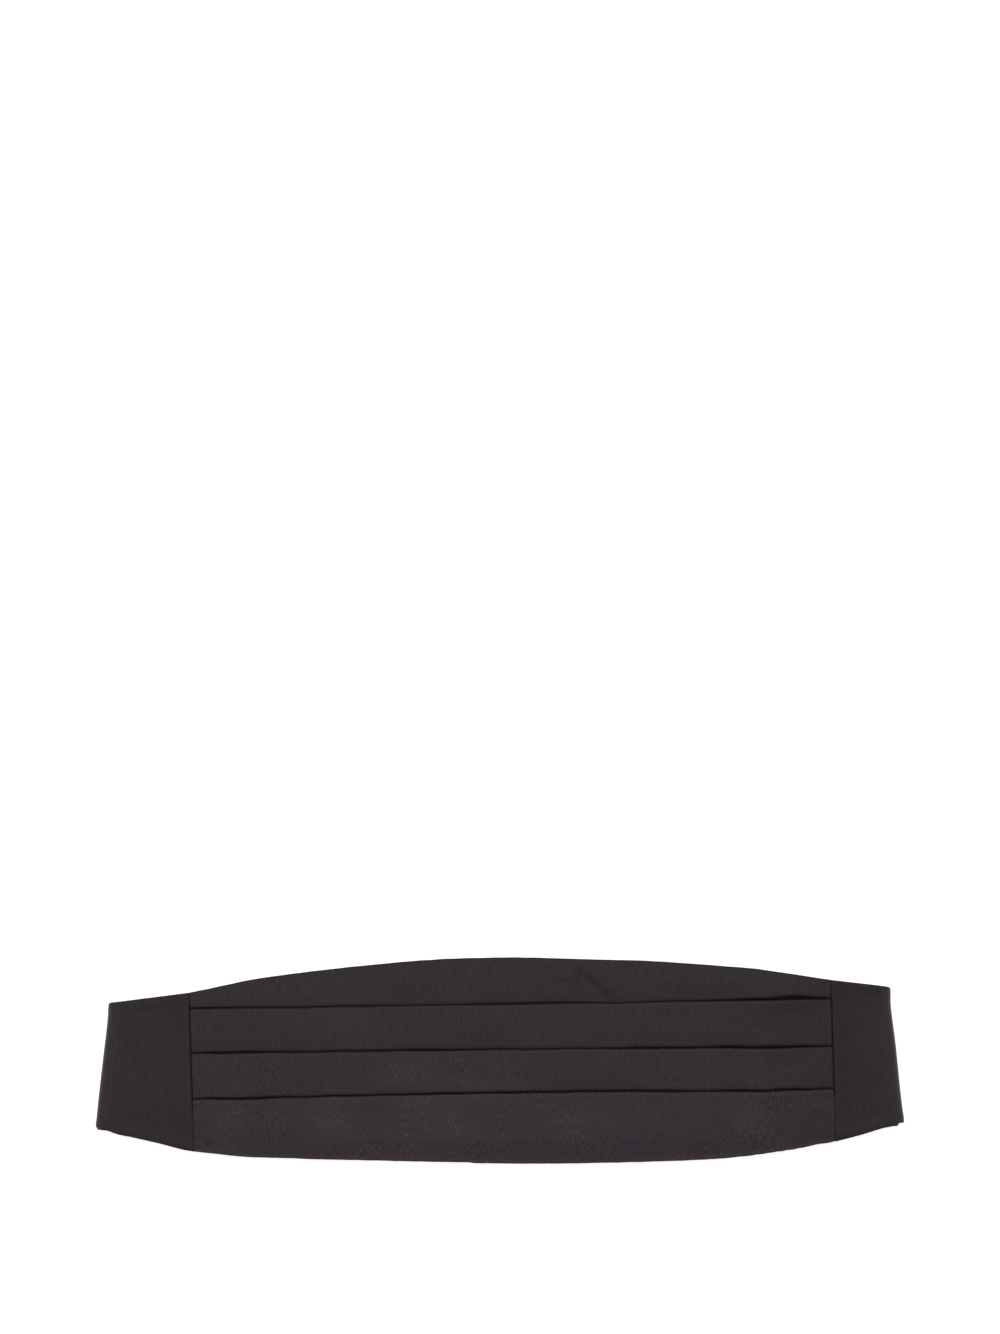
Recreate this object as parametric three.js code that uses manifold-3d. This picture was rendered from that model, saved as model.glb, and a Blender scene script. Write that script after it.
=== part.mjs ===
// A dress cummerbund: a pleated front, two plain wings and a back strap with its clasp. It is fastened and
// lies on its back, so the wings fold under the front and the strap crosses behind it. Millimetres, +X right,
// +Y towards the top edge, +Z up out of the pleats. The origin is the middle of its footprint, on the surface
// that it lies on.
import * as THREE from "three";
import { mergeVertices } from "three/addons/utils/BufferGeometryUtils.js";
import Module from "manifold-3d";

const wasm = await Module();
wasm.setup();

// Driving dimensions of the pleated front
const PANEL_LENGTH = 374; // between the two seams
const PANEL_HEIGHT = 120; // at its tallest
const PANEL_SAG = 1.5; // how far the middle hangs below the seams
const SEAM_DEGREES = 1; // degrees that both seams lean
const CLOTH = 1; // wall of the pleated cloth
const PLEAT_GAP = 0.3; // air between two layers of one pleat
const PLEAT_DEPTH = 10; // how far each pleat is folded under
const HEM_DEPTH = 4; // cloth turned under along the top and bottom edges

// Driving dimensions of the wings
const WING_WALL = 1.6; // face and back of a wing together
const LEFT_RUN = 44.7; // flat front of the left wing, from its seam to its fold
const RIGHT_RUN = 30.4; // the same on the right
const WING_BACK = 124; // flat run behind the fold, out to the tip
const FOLD_GAP = 10; // clear height inside a folded end
const SEAM_RIDGE = 12; // run over which a wing thins down from its seam
const TIP_RIDGE = 22; // run over which a wing thickens to its pocket
const POCKET_DEPTH = 12; // how far the strap goes into a wing
const POCKET_WALL = 1; // cloth over, under and beside the strap's end

// Driving dimensions of the strap and clasp
const STRAP_WIDTH = 25;
const STRAP_WALL = 1;
const STRAP_RETURN = 18; // strap doubled back under itself past the clasp's bar
const CLASP_WALL = 1.6; // thickness of the metal
const CLASP_BAR = 2.5; // width of each end bar
const CLASP_SLOT = 3.4; // width of each slot
const CLASP_PLATE = 12; // width of the plate between the slots
const CLASP_RIM = 2.5; // metal beyond each end of a slot
const CLASP_CORNER = 3; // corner radius
const CLASP_BEVEL = 0.3;
const CLASP_DROP = 33; // clasp below the middle of the front

// Clearances
const SEAT = 0.3; // between two pieces that touch
const STRAP_PLAY = 0.5; // beside the strap in its slot

// The front's outline. at runs from -1 at the left seam to 1 at the right one, and the edges are shares of
// the front's height.
const OUTLINE = [
  { at: -1.0, top: 0.349, bottom: -0.423 },
  { at: -0.8, top: 0.406, bottom: -0.458 },
  { at: -0.5, top: 0.462, bottom: -0.476 },
  { at: -0.15, top: 0.494, bottom: -0.495 },
  { at: 0.2, top: 0.484, bottom: -0.505 },
  { at: 0.6, top: 0.449, bottom: -0.497 },
  { at: 0.8, top: 0.417, bottom: -0.469 },
  { at: 1.0, top: 0.367, bottom: -0.418 },
];

// The folded edge of each pleat, from the top one down, as shares of the front's height.
const PLEAT_EDGES = [
  { left: 0.272, middle: 0.274, right: 0.277 },
  { left: 0.056, middle: 0.053, right: 0.045 },
  { left: -0.167, middle: -0.158, right: -0.162 },
];

// Each wing. sign is its side, run its flat front and lean the degrees that its fold leans. A row's at is its
// share of the run behind the fold, and the edges are shares of the front's height.
const WINGS = {
  left: {
    sign: -1,
    run: LEFT_RUN,
    lean: 6.3,
    foldStart: { top: 0.313, bottom: -0.317 },
    behind: [
      { at: 0, top: 0.281, bottom: -0.324 },
      { at: 0.13, top: 0.238, bottom: -0.336 },
    ],
    tip: -0.097,
  },
  right: {
    sign: 1,
    run: RIGHT_RUN,
    lean: 5.5,
    foldStart: { top: 0.338, bottom: -0.331 },
    behind: [
      { at: 0, top: 0.3, bottom: -0.343 },
      { at: 0.16, top: 0.25, bottom: -0.361 },
    ],
    tip: -0.13,
  },
};

// How finely the shapes are faceted
const PANEL_STATIONS = 17;
const TURN_STEPS = 4;
const FOLD_STEPS = 12;
const EDGE_STEPS = 4;
const STRAP_STEPS = 8;
const SLOPE_STEPS = 3;
const SHARPEST_RATIO = 0.5; // least cosine of a corner's half turn, so that its mitre stays short
const STRAP_SLOPE_RATIO = 4; // run for each unit of rise, gentle enough for a stiff ribbon
const SAME_POINT = 1e-4; // points nearer than this are one

// Levels that follow from the sizes above
const LAYER = CLOTH + PLEAT_GAP; // from one layer of a pleat to the next
const STACK = 3 * CLOTH + 2 * PLEAT_GAP; // all three layers of a pleat
const FOLD_RADIUS = (FOLD_GAP + WING_WALL) / 2; // to the middle of the wing's wall
const FOLD_Z = FOLD_RADIUS + WING_WALL / 2;
const FRONT_Z = FOLD_Z + FOLD_RADIUS; // middle of the wing's wall in front
const PANEL_Z = FRONT_Z - LAYER; // middle of the front's lowest layer
const POCKET_Z = POCKET_WALL + SEAT + STRAP_WALL / 2; // middle of the strap in a pocket
const TIP_WALL = 2 * (POCKET_WALL + SEAT) + STRAP_WALL;
const TIP_HEIGHT = STRAP_WIDTH + 2 * (SEAT + POCKET_WALL) + TIP_WALL / 2;
const LOOP_RADIUS = (CLASP_WALL + STRAP_WALL) / 2 + SEAT; // of the strap round a bar
const CLASP_Z = STRAP_WALL / 2 + LOOP_RADIUS;

const MATERIALS = {
  satin: new THREE.MeshStandardMaterial({ color: 0x342f33, roughness: 0.5, metalness: 0 }),
  ribbon: new THREE.MeshStandardMaterial({ color: 0x2a2829, roughness: 0.7, metalness: 0 }),
  metal: new THREE.MeshStandardMaterial({ color: 0x8f9092, roughness: 0.3, metalness: 1 }),
};

const { lerp, degToRad, smoothstep } = THREE.MathUtils;

// The value of a table's column at one place, on a smooth curve through its rows.
function smoothColumn(rows, column, at) {
  const last = rows.length - 1;
  const k = Math.min(Math.max(rows.findIndex((row) => row.at >= at) - 1, 0), last - 1);
  const slope = (i) => {
    const [before, after] = [rows[Math.max(i - 1, 0)], rows[Math.min(i + 1, last)]];
    return (after[column] - before[column]) / (after.at - before.at);
  };
  const [a, b] = [rows[k], rows[k + 1]];
  const span = b.at - a.at;
  const t = (at - a.at) / span;
  const easeIn = t * t * (3 - 2 * t);
  return (
    a[column] * (1 - easeIn) +
    b[column] * easeIn +
    slope(k) * span * t * (1 - t) * (1 - t) -
    slope(k + 1) * span * t * t * (1 - t)
  );
}

// A closed mesh as an indexed geometry whose faces point out.
function facingOut(geometry) {
  geometry.deleteAttribute("normal");
  geometry.deleteAttribute("uv");
  const merged = mergeVertices(geometry, SAME_POINT);
  const index = merged.index.array;
  const corners = [new THREE.Vector3(), new THREE.Vector3(), new THREE.Vector3()];
  let volume = 0;
  for (let i = 0; i < index.length; i += 3) {
    corners.forEach((corner, k) => corner.fromBufferAttribute(merged.attributes.position, index[i + k]));
    volume += corners[0].dot(corners[1].cross(corners[2])) / 6;
  }
  if (volume < 0) index.reverse();
  merged.computeVertexNormals();
  return merged;
}

// The triangles that close one ring, all turned the way that the ring runs.
function capTriangles(outline) {
  const way = Math.sign(THREE.ShapeUtils.area(outline));
  return THREE.ShapeUtils.triangulateShape(outline, []).map((face) =>
    Math.sign(THREE.ShapeUtils.area(face.map((k) => outline[k]))) === way ? face : face.toReversed(),
  );
}

// A closed solid through rings. A ring has its points in space, and the same points flat for its cap.
function loft(rings) {
  const count = rings[0].points.length;
  const index = [];
  for (let ring = 0; ring < rings.length - 1; ring++) {
    for (let k = 0; k < count; k++) {
      const a = ring * count + k;
      const b = ring * count + ((k + 1) % count);
      index.push(a, b, a + count, b, b + count, a + count);
    }
  }
  const lastRing = (rings.length - 1) * count;
  for (const face of capTriangles(rings[0].flat)) index.push(...face.toReversed());
  for (const face of capTriangles(rings.at(-1).flat)) index.push(...face.map((k) => lastRing + k));
  const geometry = new THREE.BufferGeometry().setFromPoints(rings.flatMap((ring) => ring.points));
  return facingOut(geometry.setIndex(index));
}

// The closed outline of a strip of even thickness along a line of points, given as two-number vectors.
function thicken(line, thickness) {
  const side = (sign) =>
    line.map((point, i) => {
      const before = line[Math.max(i - 1, 0)];
      const after = line[Math.min(i + 1, line.length - 1)];
      const inward = point.clone().sub(before).normalize();
      const outward = after.clone().sub(point).normalize();
      const along = inward.clone().add(outward).normalize();
      const stretch = 1 / Math.max(along.dot(i ? inward : outward), SHARPEST_RATIO);
      const across = new THREE.Vector2(-along.y, along.x);
      return point.clone().addScaledVector(across, (sign * stretch * thickness) / 2);
    });
  return [...side(1), ...side(-1).reverse()];
}

// A half turn of a line round (x, y), starting at the angle from and running clockwise or anticlockwise.
function halfTurn(x, y, radius, from, clockwise) {
  const to = from + (clockwise ? -Math.PI : Math.PI);
  return new THREE.EllipseCurve(x, y, radius, radius, from, to, clockwise).getPoints(TURN_STEPS);
}

function solidOf(geometry) {
  const clean = facingOut(geometry);
  const mesh = new wasm.Mesh({
    numProp: 3,
    vertProperties: clean.attributes.position.array,
    triVerts: new Uint32Array(clean.index.array),
  });
  return new wasm.Manifold(mesh);
}

function geometryOf(solid) {
  const mesh = solid.getMesh();
  const geometry = new THREE.BufferGeometry();
  geometry.setAttribute("position", new THREE.BufferAttribute(mesh.vertProperties, 3));
  geometry.setIndex(new THREE.BufferAttribute(mesh.triVerts, 1));
  return facingOut(geometry);
}

function piece(name, geometry, material) {
  const mesh = new THREE.Mesh(geometry, material);
  mesh.name = name;
  return mesh;
}

// The pleated front: one cloth folded into three pleats that open upwards

const panelEdge = (at, column) => PANEL_HEIGHT * smoothColumn(OUTLINE, column, at);

function pleatEdge({ left, middle, right }, at) {
  const rows = [
    { at: -1, y: left },
    { at: 0, y: middle },
    { at: 1, y: right },
  ];
  return PANEL_HEIGHT * smoothColumn(rows, "y", at);
}

// How far the front hangs at a place along it: nothing at the seams, level in the middle.
const panelSag = (at) => PANEL_SAG * (1 - at * at) ** 2;

// The middle line of the cloth across the front, as (y, level), from the top hem's raw edge to the bottom
// hem's.
function clothLine(at) {
  const top = panelEdge(at, "top");
  const bottom = panelEdge(at, "bottom");
  const edges = PLEAT_EDGES.map((row) => pleatEdge(row, at));
  const reach = (LAYER + CLOTH) / 2; // from a turn's centre to its outside
  const up = (edge, level) => halfTurn(edge - reach, level + LAYER / 2, LAYER / 2, -Math.PI / 2, false);
  const down = (edge, level) => halfTurn(edge + reach, level + LAYER / 2, LAYER / 2, -Math.PI / 2, true);
  const line = [new THREE.Vector2(top - HEM_DEPTH, 0), ...up(top, 0)];
  line.push(new THREE.Vector2(top - HEM_DEPTH - CLOTH, LAYER));
  for (const edge of edges) {
    line.push(new THREE.Vector2(edge + CLOTH, 0), ...down(edge - PLEAT_DEPTH, 0), ...up(edge, LAYER));
    line.push(new THREE.Vector2(edge - PLEAT_DEPTH - CLOTH, 2 * LAYER));
  }
  line.push(new THREE.Vector2(bottom + HEM_DEPTH + CLOTH, LAYER), ...down(bottom, 0).reverse());
  line.push(new THREE.Vector2(bottom + HEM_DEPTH, 0));
  return line;
}

function pleatedFront() {
  const lean = Math.tan(degToRad(SEAM_DEGREES));
  const rings = Array.from({ length: PANEL_STATIONS }, (_, i) => {
    const at = lerp(-1, 1, i / (PANEL_STATIONS - 1));
    const x = at * (PANEL_LENGTH / 2 - SEAT / 2);
    const flat = thicken(clothLine(at), CLOTH);
    const floor = PANEL_Z - panelSag(at);
    const points = flat.map(({ x: y, y: level }) => new THREE.Vector3(x - lean * y, y, floor + level));
    return { points, flat };
  });
  return piece("pleated_front", loft(rings), MATERIALS.satin);
}

// The wings: each is sewn to the front, runs flat to its fold and returns under the front to a strap pocket

// The fold's own axes on the surface: outward across it, and up along it.
function foldAxes({ sign, run, lean }) {
  const angle = degToRad(lean);
  return {
    centre: new THREE.Vector2(sign * (PANEL_LENGTH / 2 + run), 0),
    outward: new THREE.Vector2(sign * Math.cos(angle), Math.sin(angle)),
    up: new THREE.Vector2(-sign * Math.sin(angle), Math.cos(angle)),
  };
}

// A point of a flat wing, folded. along is measured over the cloth from the middle of the fold, across goes
// up the fold, and out is the height over the middle of the wall.
function foldedPoint(axes, along, across, out) {
  const turn = THREE.MathUtils.clamp(along / FOLD_RADIUS, -Math.PI / 2, Math.PI / 2);
  const flatRun = Math.abs(along - turn * FOLD_RADIUS);
  const plan = axes.centre
    .clone()
    .addScaledVector(axes.outward, (FOLD_RADIUS + out) * Math.cos(turn) - flatRun)
    .addScaledVector(axes.up, across);
  return new THREE.Vector3(plan.x, plan.y, FOLD_Z - (FOLD_RADIUS + out) * Math.sin(turn));
}

const QUARTER_RUN = (FOLD_RADIUS * Math.PI) / 2; // cloth from the middle of a fold to its end

// The ends of a wing's seam, as it lies flat, measured as foldedPoint measures.
function seamEnd(wing, axes, column) {
  const y = panelEdge(wing.sign, column);
  const x = wing.sign * (PANEL_LENGTH / 2 + SEAT / 2) - y * Math.tan(degToRad(SEAM_DEGREES));
  const offset = new THREE.Vector2(x, y).sub(axes.centre);
  return { along: offset.dot(axes.outward) - QUARTER_RUN, across: offset.dot(axes.up) };
}

// The lines across a wing, from its seam to its tip. Each has its two ends and the heights of its two faces.
function wingLines(wing, axes) {
  const plain = { outer: WING_WALL / 2, inner: -WING_WALL / 2 };
  const [seamTop, seamBottom] = [seamEnd(wing, axes, "top"), seamEnd(wing, axes, "bottom")];
  const foldEdge = (column) => ({ along: -QUARTER_RUN, across: PANEL_HEIGHT * wing.foldStart[column] });
  const between = (a, b, t) => ({ along: lerp(a.along, b.along, t), across: lerp(a.across, b.across, t) });
  const ridge = SEAM_RIDGE / (-QUARTER_RUN - (seamTop.along + seamBottom.along) / 2);
  const front = [0, ridge / 3, (2 * ridge) / 3, ridge].map((t) => {
    const half = lerp(STACK, WING_WALL, smoothstep(t, 0, ridge)) / 2;
    const top = between(seamTop, foldEdge("top"), t);
    return { top, bottom: between(seamBottom, foldEdge("bottom"), t), outer: half, inner: -half };
  });
  const tip = PANEL_HEIGHT * wing.tip;
  const rows = [
    { at: -2 * QUARTER_RUN, top: foldEdge("top").across, bottom: foldEdge("bottom").across },
    ...wing.behind.map(({ at, top, bottom }) => ({
      at: at * WING_BACK,
      top: top * PANEL_HEIGHT,
      bottom: bottom * PANEL_HEIGHT,
    })),
    { at: WING_BACK, top: tip + TIP_HEIGHT / 2, bottom: tip - TIP_HEIGHT / 2 },
  ];
  // Runs behind the fold's end: round the fold, then along the back, then up the slope to the pocket.
  const runs = [
    ...Array.from({ length: FOLD_STEPS + 1 }, (_, i) => -2 * QUARTER_RUN * (1 - i / FOLD_STEPS)),
    rows[2].at / 2,
    rows[2].at,
    (rows[2].at + WING_BACK - TIP_RIDGE) / 2,
    ...[0, 1 / 3, 2 / 3].map((share) => WING_BACK - lerp(TIP_RIDGE, POCKET_DEPTH, share)),
    WING_BACK - POCKET_DEPTH,
    WING_BACK,
  ];
  const behind = runs.map((run) => {
    const rise = smoothstep(run, WING_BACK - TIP_RIDGE, WING_BACK - POCKET_DEPTH) * (TIP_WALL - WING_WALL);
    const end = (column) => ({ along: run + QUARTER_RUN, across: smoothColumn(rows, column, run) });
    return { top: end("top"), bottom: end("bottom"), outer: plain.outer, inner: plain.inner - rise };
  });
  return [...front, ...behind];
}

// The ring of points round a wing at one of its lines: two faces joined by rounded edges.
function wingRing(axes, { top, bottom, outer, inner }) {
  const radius = (outer - inner) / 2;
  const middle = (outer + inner) / 2;
  const height = top.across - bottom.across;
  const edge = (across, from) =>
    new THREE.EllipseCurve(across, middle, radius, radius, from, from - Math.PI, true).getPoints(EDGE_STEPS);
  const flat = [
    ...edge(top.across - radius, Math.PI / 2),
    new THREE.Vector2(lerp(top.across, bottom.across, 1 / 2), inner),
    ...edge(bottom.across + radius, -Math.PI / 2),
    new THREE.Vector2(lerp(top.across, bottom.across, 1 / 2), outer),
  ];
  const points = flat.map(({ x: across, y: out }) => {
    const share = (across - bottom.across) / height;
    return foldedPoint(axes, lerp(bottom.along, top.along, share), across, out);
  });
  return { points, flat };
}

// Where a wing ends on the surface, and the way that its strap leaves it.
function wingTip(wing) {
  const axes = foldAxes(wing);
  const { x, y } = foldedPoint(axes, WING_BACK + QUARTER_RUN, PANEL_HEIGHT * wing.tip, 0);
  return { x, y, slope: axes.outward.y / axes.outward.x, angle: axes.outward.angle() };
}

function wing(name, side) {
  const axes = foldAxes(side);
  const body = loft(wingLines(side, axes).map((line) => wingRing(axes, line)));
  const tip = wingTip(side);
  const pocket = new THREE.BoxGeometry(2 * POCKET_DEPTH, STRAP_WIDTH + 2 * SEAT, STRAP_WALL + 2 * SEAT)
    .rotateZ(tip.angle)
    .translate(tip.x, tip.y, POCKET_Z);
  return piece(name, geometryOf(solidOf(body).subtract(solidOf(pocket))), MATERIALS.satin);
}

// The clasp: one plate with a slot at each end, for the two straps

function claspCentre() {
  const [left, right] = [wingTip(WINGS.left), wingTip(WINGS.right)];
  return new THREE.Vector3((left.x + right.x) / 2, -CLASP_DROP, CLASP_Z);
}

function roundedRectangle(width, height, radius) {
  const [x, y] = [width / 2 - radius, height / 2 - radius];
  return new THREE.Shape()
    .absarc(x, y, radius, 0, Math.PI / 2)
    .absarc(-x, y, radius, Math.PI / 2, Math.PI)
    .absarc(-x, -y, radius, Math.PI, 1.5 * Math.PI)
    .absarc(x, -y, radius, 1.5 * Math.PI, 2 * Math.PI);
}

function clasp() {
  const slotHeight = STRAP_WIDTH + 2 * STRAP_PLAY;
  const width = CLASP_PLATE + 2 * (CLASP_SLOT + CLASP_BAR);
  const plate = new THREE.ExtrudeGeometry(roundedRectangle(width, slotHeight + 2 * CLASP_RIM, CLASP_CORNER), {
    depth: CLASP_WALL - 2 * CLASP_BEVEL,
    bevelThickness: CLASP_BEVEL,
    bevelSize: CLASP_BEVEL,
    bevelOffset: -CLASP_BEVEL,
    bevelSegments: 1,
    curveSegments: EDGE_STEPS,
  }).translate(0, 0, CLASP_BEVEL - CLASP_WALL / 2);
  const slot = (side) =>
    new THREE.BoxGeometry(CLASP_SLOT, slotHeight, 2 * CLASP_WALL).translate(
      (side * (CLASP_PLATE + CLASP_SLOT)) / 2,
      0,
      0,
    );
  const slotted = solidOf(plate).subtract(solidOf(slot(-1))).subtract(solidOf(slot(1)));
  const mesh = piece("clasp", geometryOf(slotted), MATERIALS.metal);
  mesh.position.copy(claspCentre());
  return mesh;
}

// The straps: each leaves its pocket, lies down, and loops round a bar of the clasp and back under itself

// The strap's line on the surface, as a function of the distance from the clasp: level there, and straight
// at the tip.
function strapCourse(tip, clasp) {
  const span = Math.abs(tip.x - clasp.x);
  const slope = tip.slope * Math.sign(tip.x - clasp.x);
  const rise = tip.y - clasp.y;
  return (distance) => {
    if (distance >= span) return { y: tip.y + slope * (distance - span), slope };
    const t = Math.max(distance / span, 0);
    const [a, b] = [slope * span - 2 * rise, 3 * rise - slope * span];
    return { y: clasp.y + a * t ** 3 + b * t ** 2, slope: (3 * a * t ** 2 + 2 * b * t) / span };
  };
}

// The strap's middle line seen from the side, as (distance from the clasp, height), from its doubled end to
// its pocket.
function strapLine(span) {
  const bar = CLASP_PLATE / 2 + CLASP_SLOT; // the bar's edge in the slot
  const low = STRAP_WALL / 2;
  const doubled = low + STRAP_WALL + SEAT;
  const high = low + 2 * LOOP_RADIUS;
  const overBar = bar + CLASP_BAR + SEAT;
  const end = bar + STRAP_RETURN;
  const slopeRun = STRAP_SLOPE_RATIO * (high - doubled);
  const slope = (from, to, z1, z2) =>
    Array.from({ length: SLOPE_STEPS + 1 }, (_, i) => {
      const t = i / SLOPE_STEPS;
      return new THREE.Vector2(lerp(from, to, t), lerp(z1, z2, smoothstep(t, 0, 1)));
    });
  const lying = [end + SEAT + slopeRun, span - POCKET_DEPTH - slopeRun];
  const flat = Array.from({ length: STRAP_STEPS - 1 }, (_, i) => lerp(...lying, (i + 1) / STRAP_STEPS));
  return [
    new THREE.Vector2(end, low),
    ...halfTurn(bar, CLASP_Z, LOOP_RADIUS, -Math.PI / 2, true),
    ...slope(overBar, overBar + slopeRun, high, doubled),
    ...slope(end + SEAT, lying[0], doubled, low),
    ...flat.map((distance) => new THREE.Vector2(distance, low)),
    ...slope(lying[1], span - SEAT, low, POCKET_Z),
    new THREE.Vector2(span + POCKET_DEPTH - SEAT, POCKET_Z),
  ];
}

function strap(name, side) {
  const tip = wingTip(side);
  const clasp = claspCentre();
  const course = strapCourse(tip, clasp);
  const shape = new THREE.Shape(thicken(strapLine(Math.abs(tip.x - clasp.x)), STRAP_WALL));
  const geometry = new THREE.ExtrudeGeometry(shape, { depth: STRAP_WIDTH, bevelEnabled: false });
  const position = geometry.attributes.position;
  for (let i = 0; i < position.count; i++) {
    const distance = position.getX(i);
    const height = position.getY(i);
    const across = position.getZ(i) - STRAP_WIDTH / 2;
    const { y, slope } = course(distance);
    const angle = Math.atan(slope);
    position.setXYZ(
      i,
      clasp.x + side.sign * (distance - Math.sin(angle) * across),
      y + Math.cos(angle) * across,
      height,
    );
  }
  return piece(name, facingOut(geometry), MATERIALS.ribbon);
}

const cummerbund = new THREE.Group();
cummerbund.add(
  pleatedFront(),
  wing("wing_left", WINGS.left),
  wing("wing_right", WINGS.right),
  strap("strap_left", WINGS.left),
  strap("strap_right", WINGS.right),
  clasp(),
);

// The origin goes to the middle of the footprint.
const footprint = new THREE.Box3().setFromObject(cummerbund, true);
const middle = footprint.getCenter(new THREE.Vector3());
cummerbund.position.set(-middle.x, -middle.y, -footprint.min.z);

export default cummerbund;
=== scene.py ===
# The looks of a pleated dress cummerbund, fastened and lying on its back, seen from straight above on white.
# Shapes are worked out in millimetres in the front's own frame, with its middle at x = 0. Their meshes move
# to the frame's place and to metres as they are made.
import math

import bpy
import numpy as np
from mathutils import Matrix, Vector


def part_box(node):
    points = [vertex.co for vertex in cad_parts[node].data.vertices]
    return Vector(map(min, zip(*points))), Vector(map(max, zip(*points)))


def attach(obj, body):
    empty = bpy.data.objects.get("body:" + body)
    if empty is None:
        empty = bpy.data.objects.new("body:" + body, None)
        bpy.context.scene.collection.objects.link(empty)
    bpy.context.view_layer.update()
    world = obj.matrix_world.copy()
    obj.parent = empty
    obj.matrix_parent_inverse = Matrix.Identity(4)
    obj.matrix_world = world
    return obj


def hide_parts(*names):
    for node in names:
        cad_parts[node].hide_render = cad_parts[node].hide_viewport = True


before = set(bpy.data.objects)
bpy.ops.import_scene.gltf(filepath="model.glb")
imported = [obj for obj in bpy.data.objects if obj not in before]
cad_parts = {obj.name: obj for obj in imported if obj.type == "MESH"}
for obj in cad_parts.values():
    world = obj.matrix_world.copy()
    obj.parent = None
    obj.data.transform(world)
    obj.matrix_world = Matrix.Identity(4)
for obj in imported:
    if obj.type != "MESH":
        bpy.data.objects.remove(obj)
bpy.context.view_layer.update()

MM = 0.001


def table(columns, *rows):
    """Rows of values under the names of their columns."""
    return [dict(zip(columns.split(), row)) for row in rows]


# The object's driving sizes, as the part has them, in millimetres
PANEL_LENGTH = 374
PANEL_HEIGHT = 120
PANEL_SAG = 1.5
SEAM_SLOPE = math.tan(math.radians(1))
PLEAT_DEPTH = 10
HEM_DEPTH = 4
WING_WALL = 1.6
WING_BACK = 124
FOLD_GAP = 10
SEAM_RIDGE = 12
TIP_RIDGE = 22
POCKET_DEPTH = 12
POCKET_WALL = 1
STRAP_WIDTH = 25
STRAP_WALL = 1
STRAP_RETURN = 18
CLASP_WALL = 1.6
CLASP_BAR = 2.5
CLASP_SLOT = 3.4
CLASP_PLATE = 12
CLASP_RIM = 2.5
CLASP_CORNER = 3
CLASP_DROP = 33
SEAT = 0.3
STRAP_PLAY = 0.5

FOLD_RADIUS = (FOLD_GAP + WING_WALL) / 2
FOLD_Z = FOLD_RADIUS + WING_WALL / 2
FRONT_HALF = (PANEL_LENGTH - SEAT) / 2
FRONT_RISE = 1  # the front's highest surface over the folds' tops
TOP_Z = 2 * FOLD_Z + FRONT_RISE
QUARTER_RUN = FOLD_RADIUS * math.pi / 2
POCKET_Z = POCKET_WALL + SEAT + STRAP_WALL / 2
TIP_WALL = 2 * (POCKET_WALL + SEAT) + STRAP_WALL
TIP_HEIGHT = STRAP_WIDTH + 2 * (SEAT + POCKET_WALL) + TIP_WALL / 2
LOOP_RADIUS = (CLASP_WALL + STRAP_WALL) / 2 + SEAT
CLASP_Z = STRAP_WALL / 2 + LOOP_RADIUS

# The front's outline and the folded edge of each pleat, as shares of the front's height
OUTLINE = table(
    "at top bottom",
    (-1.0, 0.349, -0.423),
    (-0.8, 0.406, -0.458),
    (-0.5, 0.462, -0.476),
    (-0.15, 0.494, -0.495),
    (0.2, 0.484, -0.505),
    (0.6, 0.449, -0.497),
    (0.8, 0.417, -0.469),
    (1.0, 0.367, -0.418),
)
PLEAT_EDGES = table(
    "at first second third",
    (-1, 0.272, 0.056, -0.167),
    (0, 0.274, 0.053, -0.158),
    (1, 0.277, 0.045, -0.162),
)
PLEATS = ["first", "second", "third"]

# The wings. run is a wing's length from the seam to its fold, and lean is the fold's angle in degrees. Tops
# and bottoms are shares of the front's height, at shares of the way from the fold to the tip. flare is how
# far the top corner and the foot of the folded end stand out past its plain line, and foot_round is how far
# its lowest corner is drawn back. hem is how far the lower hem hangs, from the fold to the seam.
WINGS = {
    "left": {
        "sign": -1,
        "run": 44.7,
        "lean": 6.3,
        "fold_start": {"top": 0.313, "bottom": -0.317},
        "behind": table(
            "at top bottom",
            (0, 0.281, -0.324),
            (0.13, 0.238, -0.336),
        ),
        "tip": -0.097,
        "flare": {"top": 0.35, "foot": 1.15},
        "foot_round": 1.1,
        "hem": table(
            "at drop",
            (0, 0),
            (0.13, 0.05),
            (0.17, 0.3),
            (0.25, 0.85),
            (0.39, 0.5),
            (0.65, 0.25),
            (0.9, 0.45),
            (1, 0),
        ),
    },
    "right": {
        "sign": 1,
        "run": 30.4,
        "lean": 5.5,
        "fold_start": {"top": 0.338, "bottom": -0.331},
        "behind": table(
            "at top bottom",
            (0, 0.3, -0.343),
            (0.16, 0.25, -0.361),
        ),
        "tip": -0.13,
        "flare": {"top": 0.75, "foot": 0.15},
        "foot_round": 0,
        "hem": table(
            "at drop",
            (0, 0.6),
            (0.13, 0.7),
            (0.16, 2.2),
            (0.21, 2.2),
            (0.36, 1.4),
            (0.65, 1.1),
            (1, 0.1),
        ),
    },
}

# The photograph's frame: its middle, the pixel where the frame's origin lies, its scale and its slight turn
PHOTO_SIZE = (1000, 1334)
ORIGIN_PIXEL = (499.6, 1061.1)
PIXEL = 0.5825  # millimetres to a pixel
PHOTO_TURN = 0.0143  # radians

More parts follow.
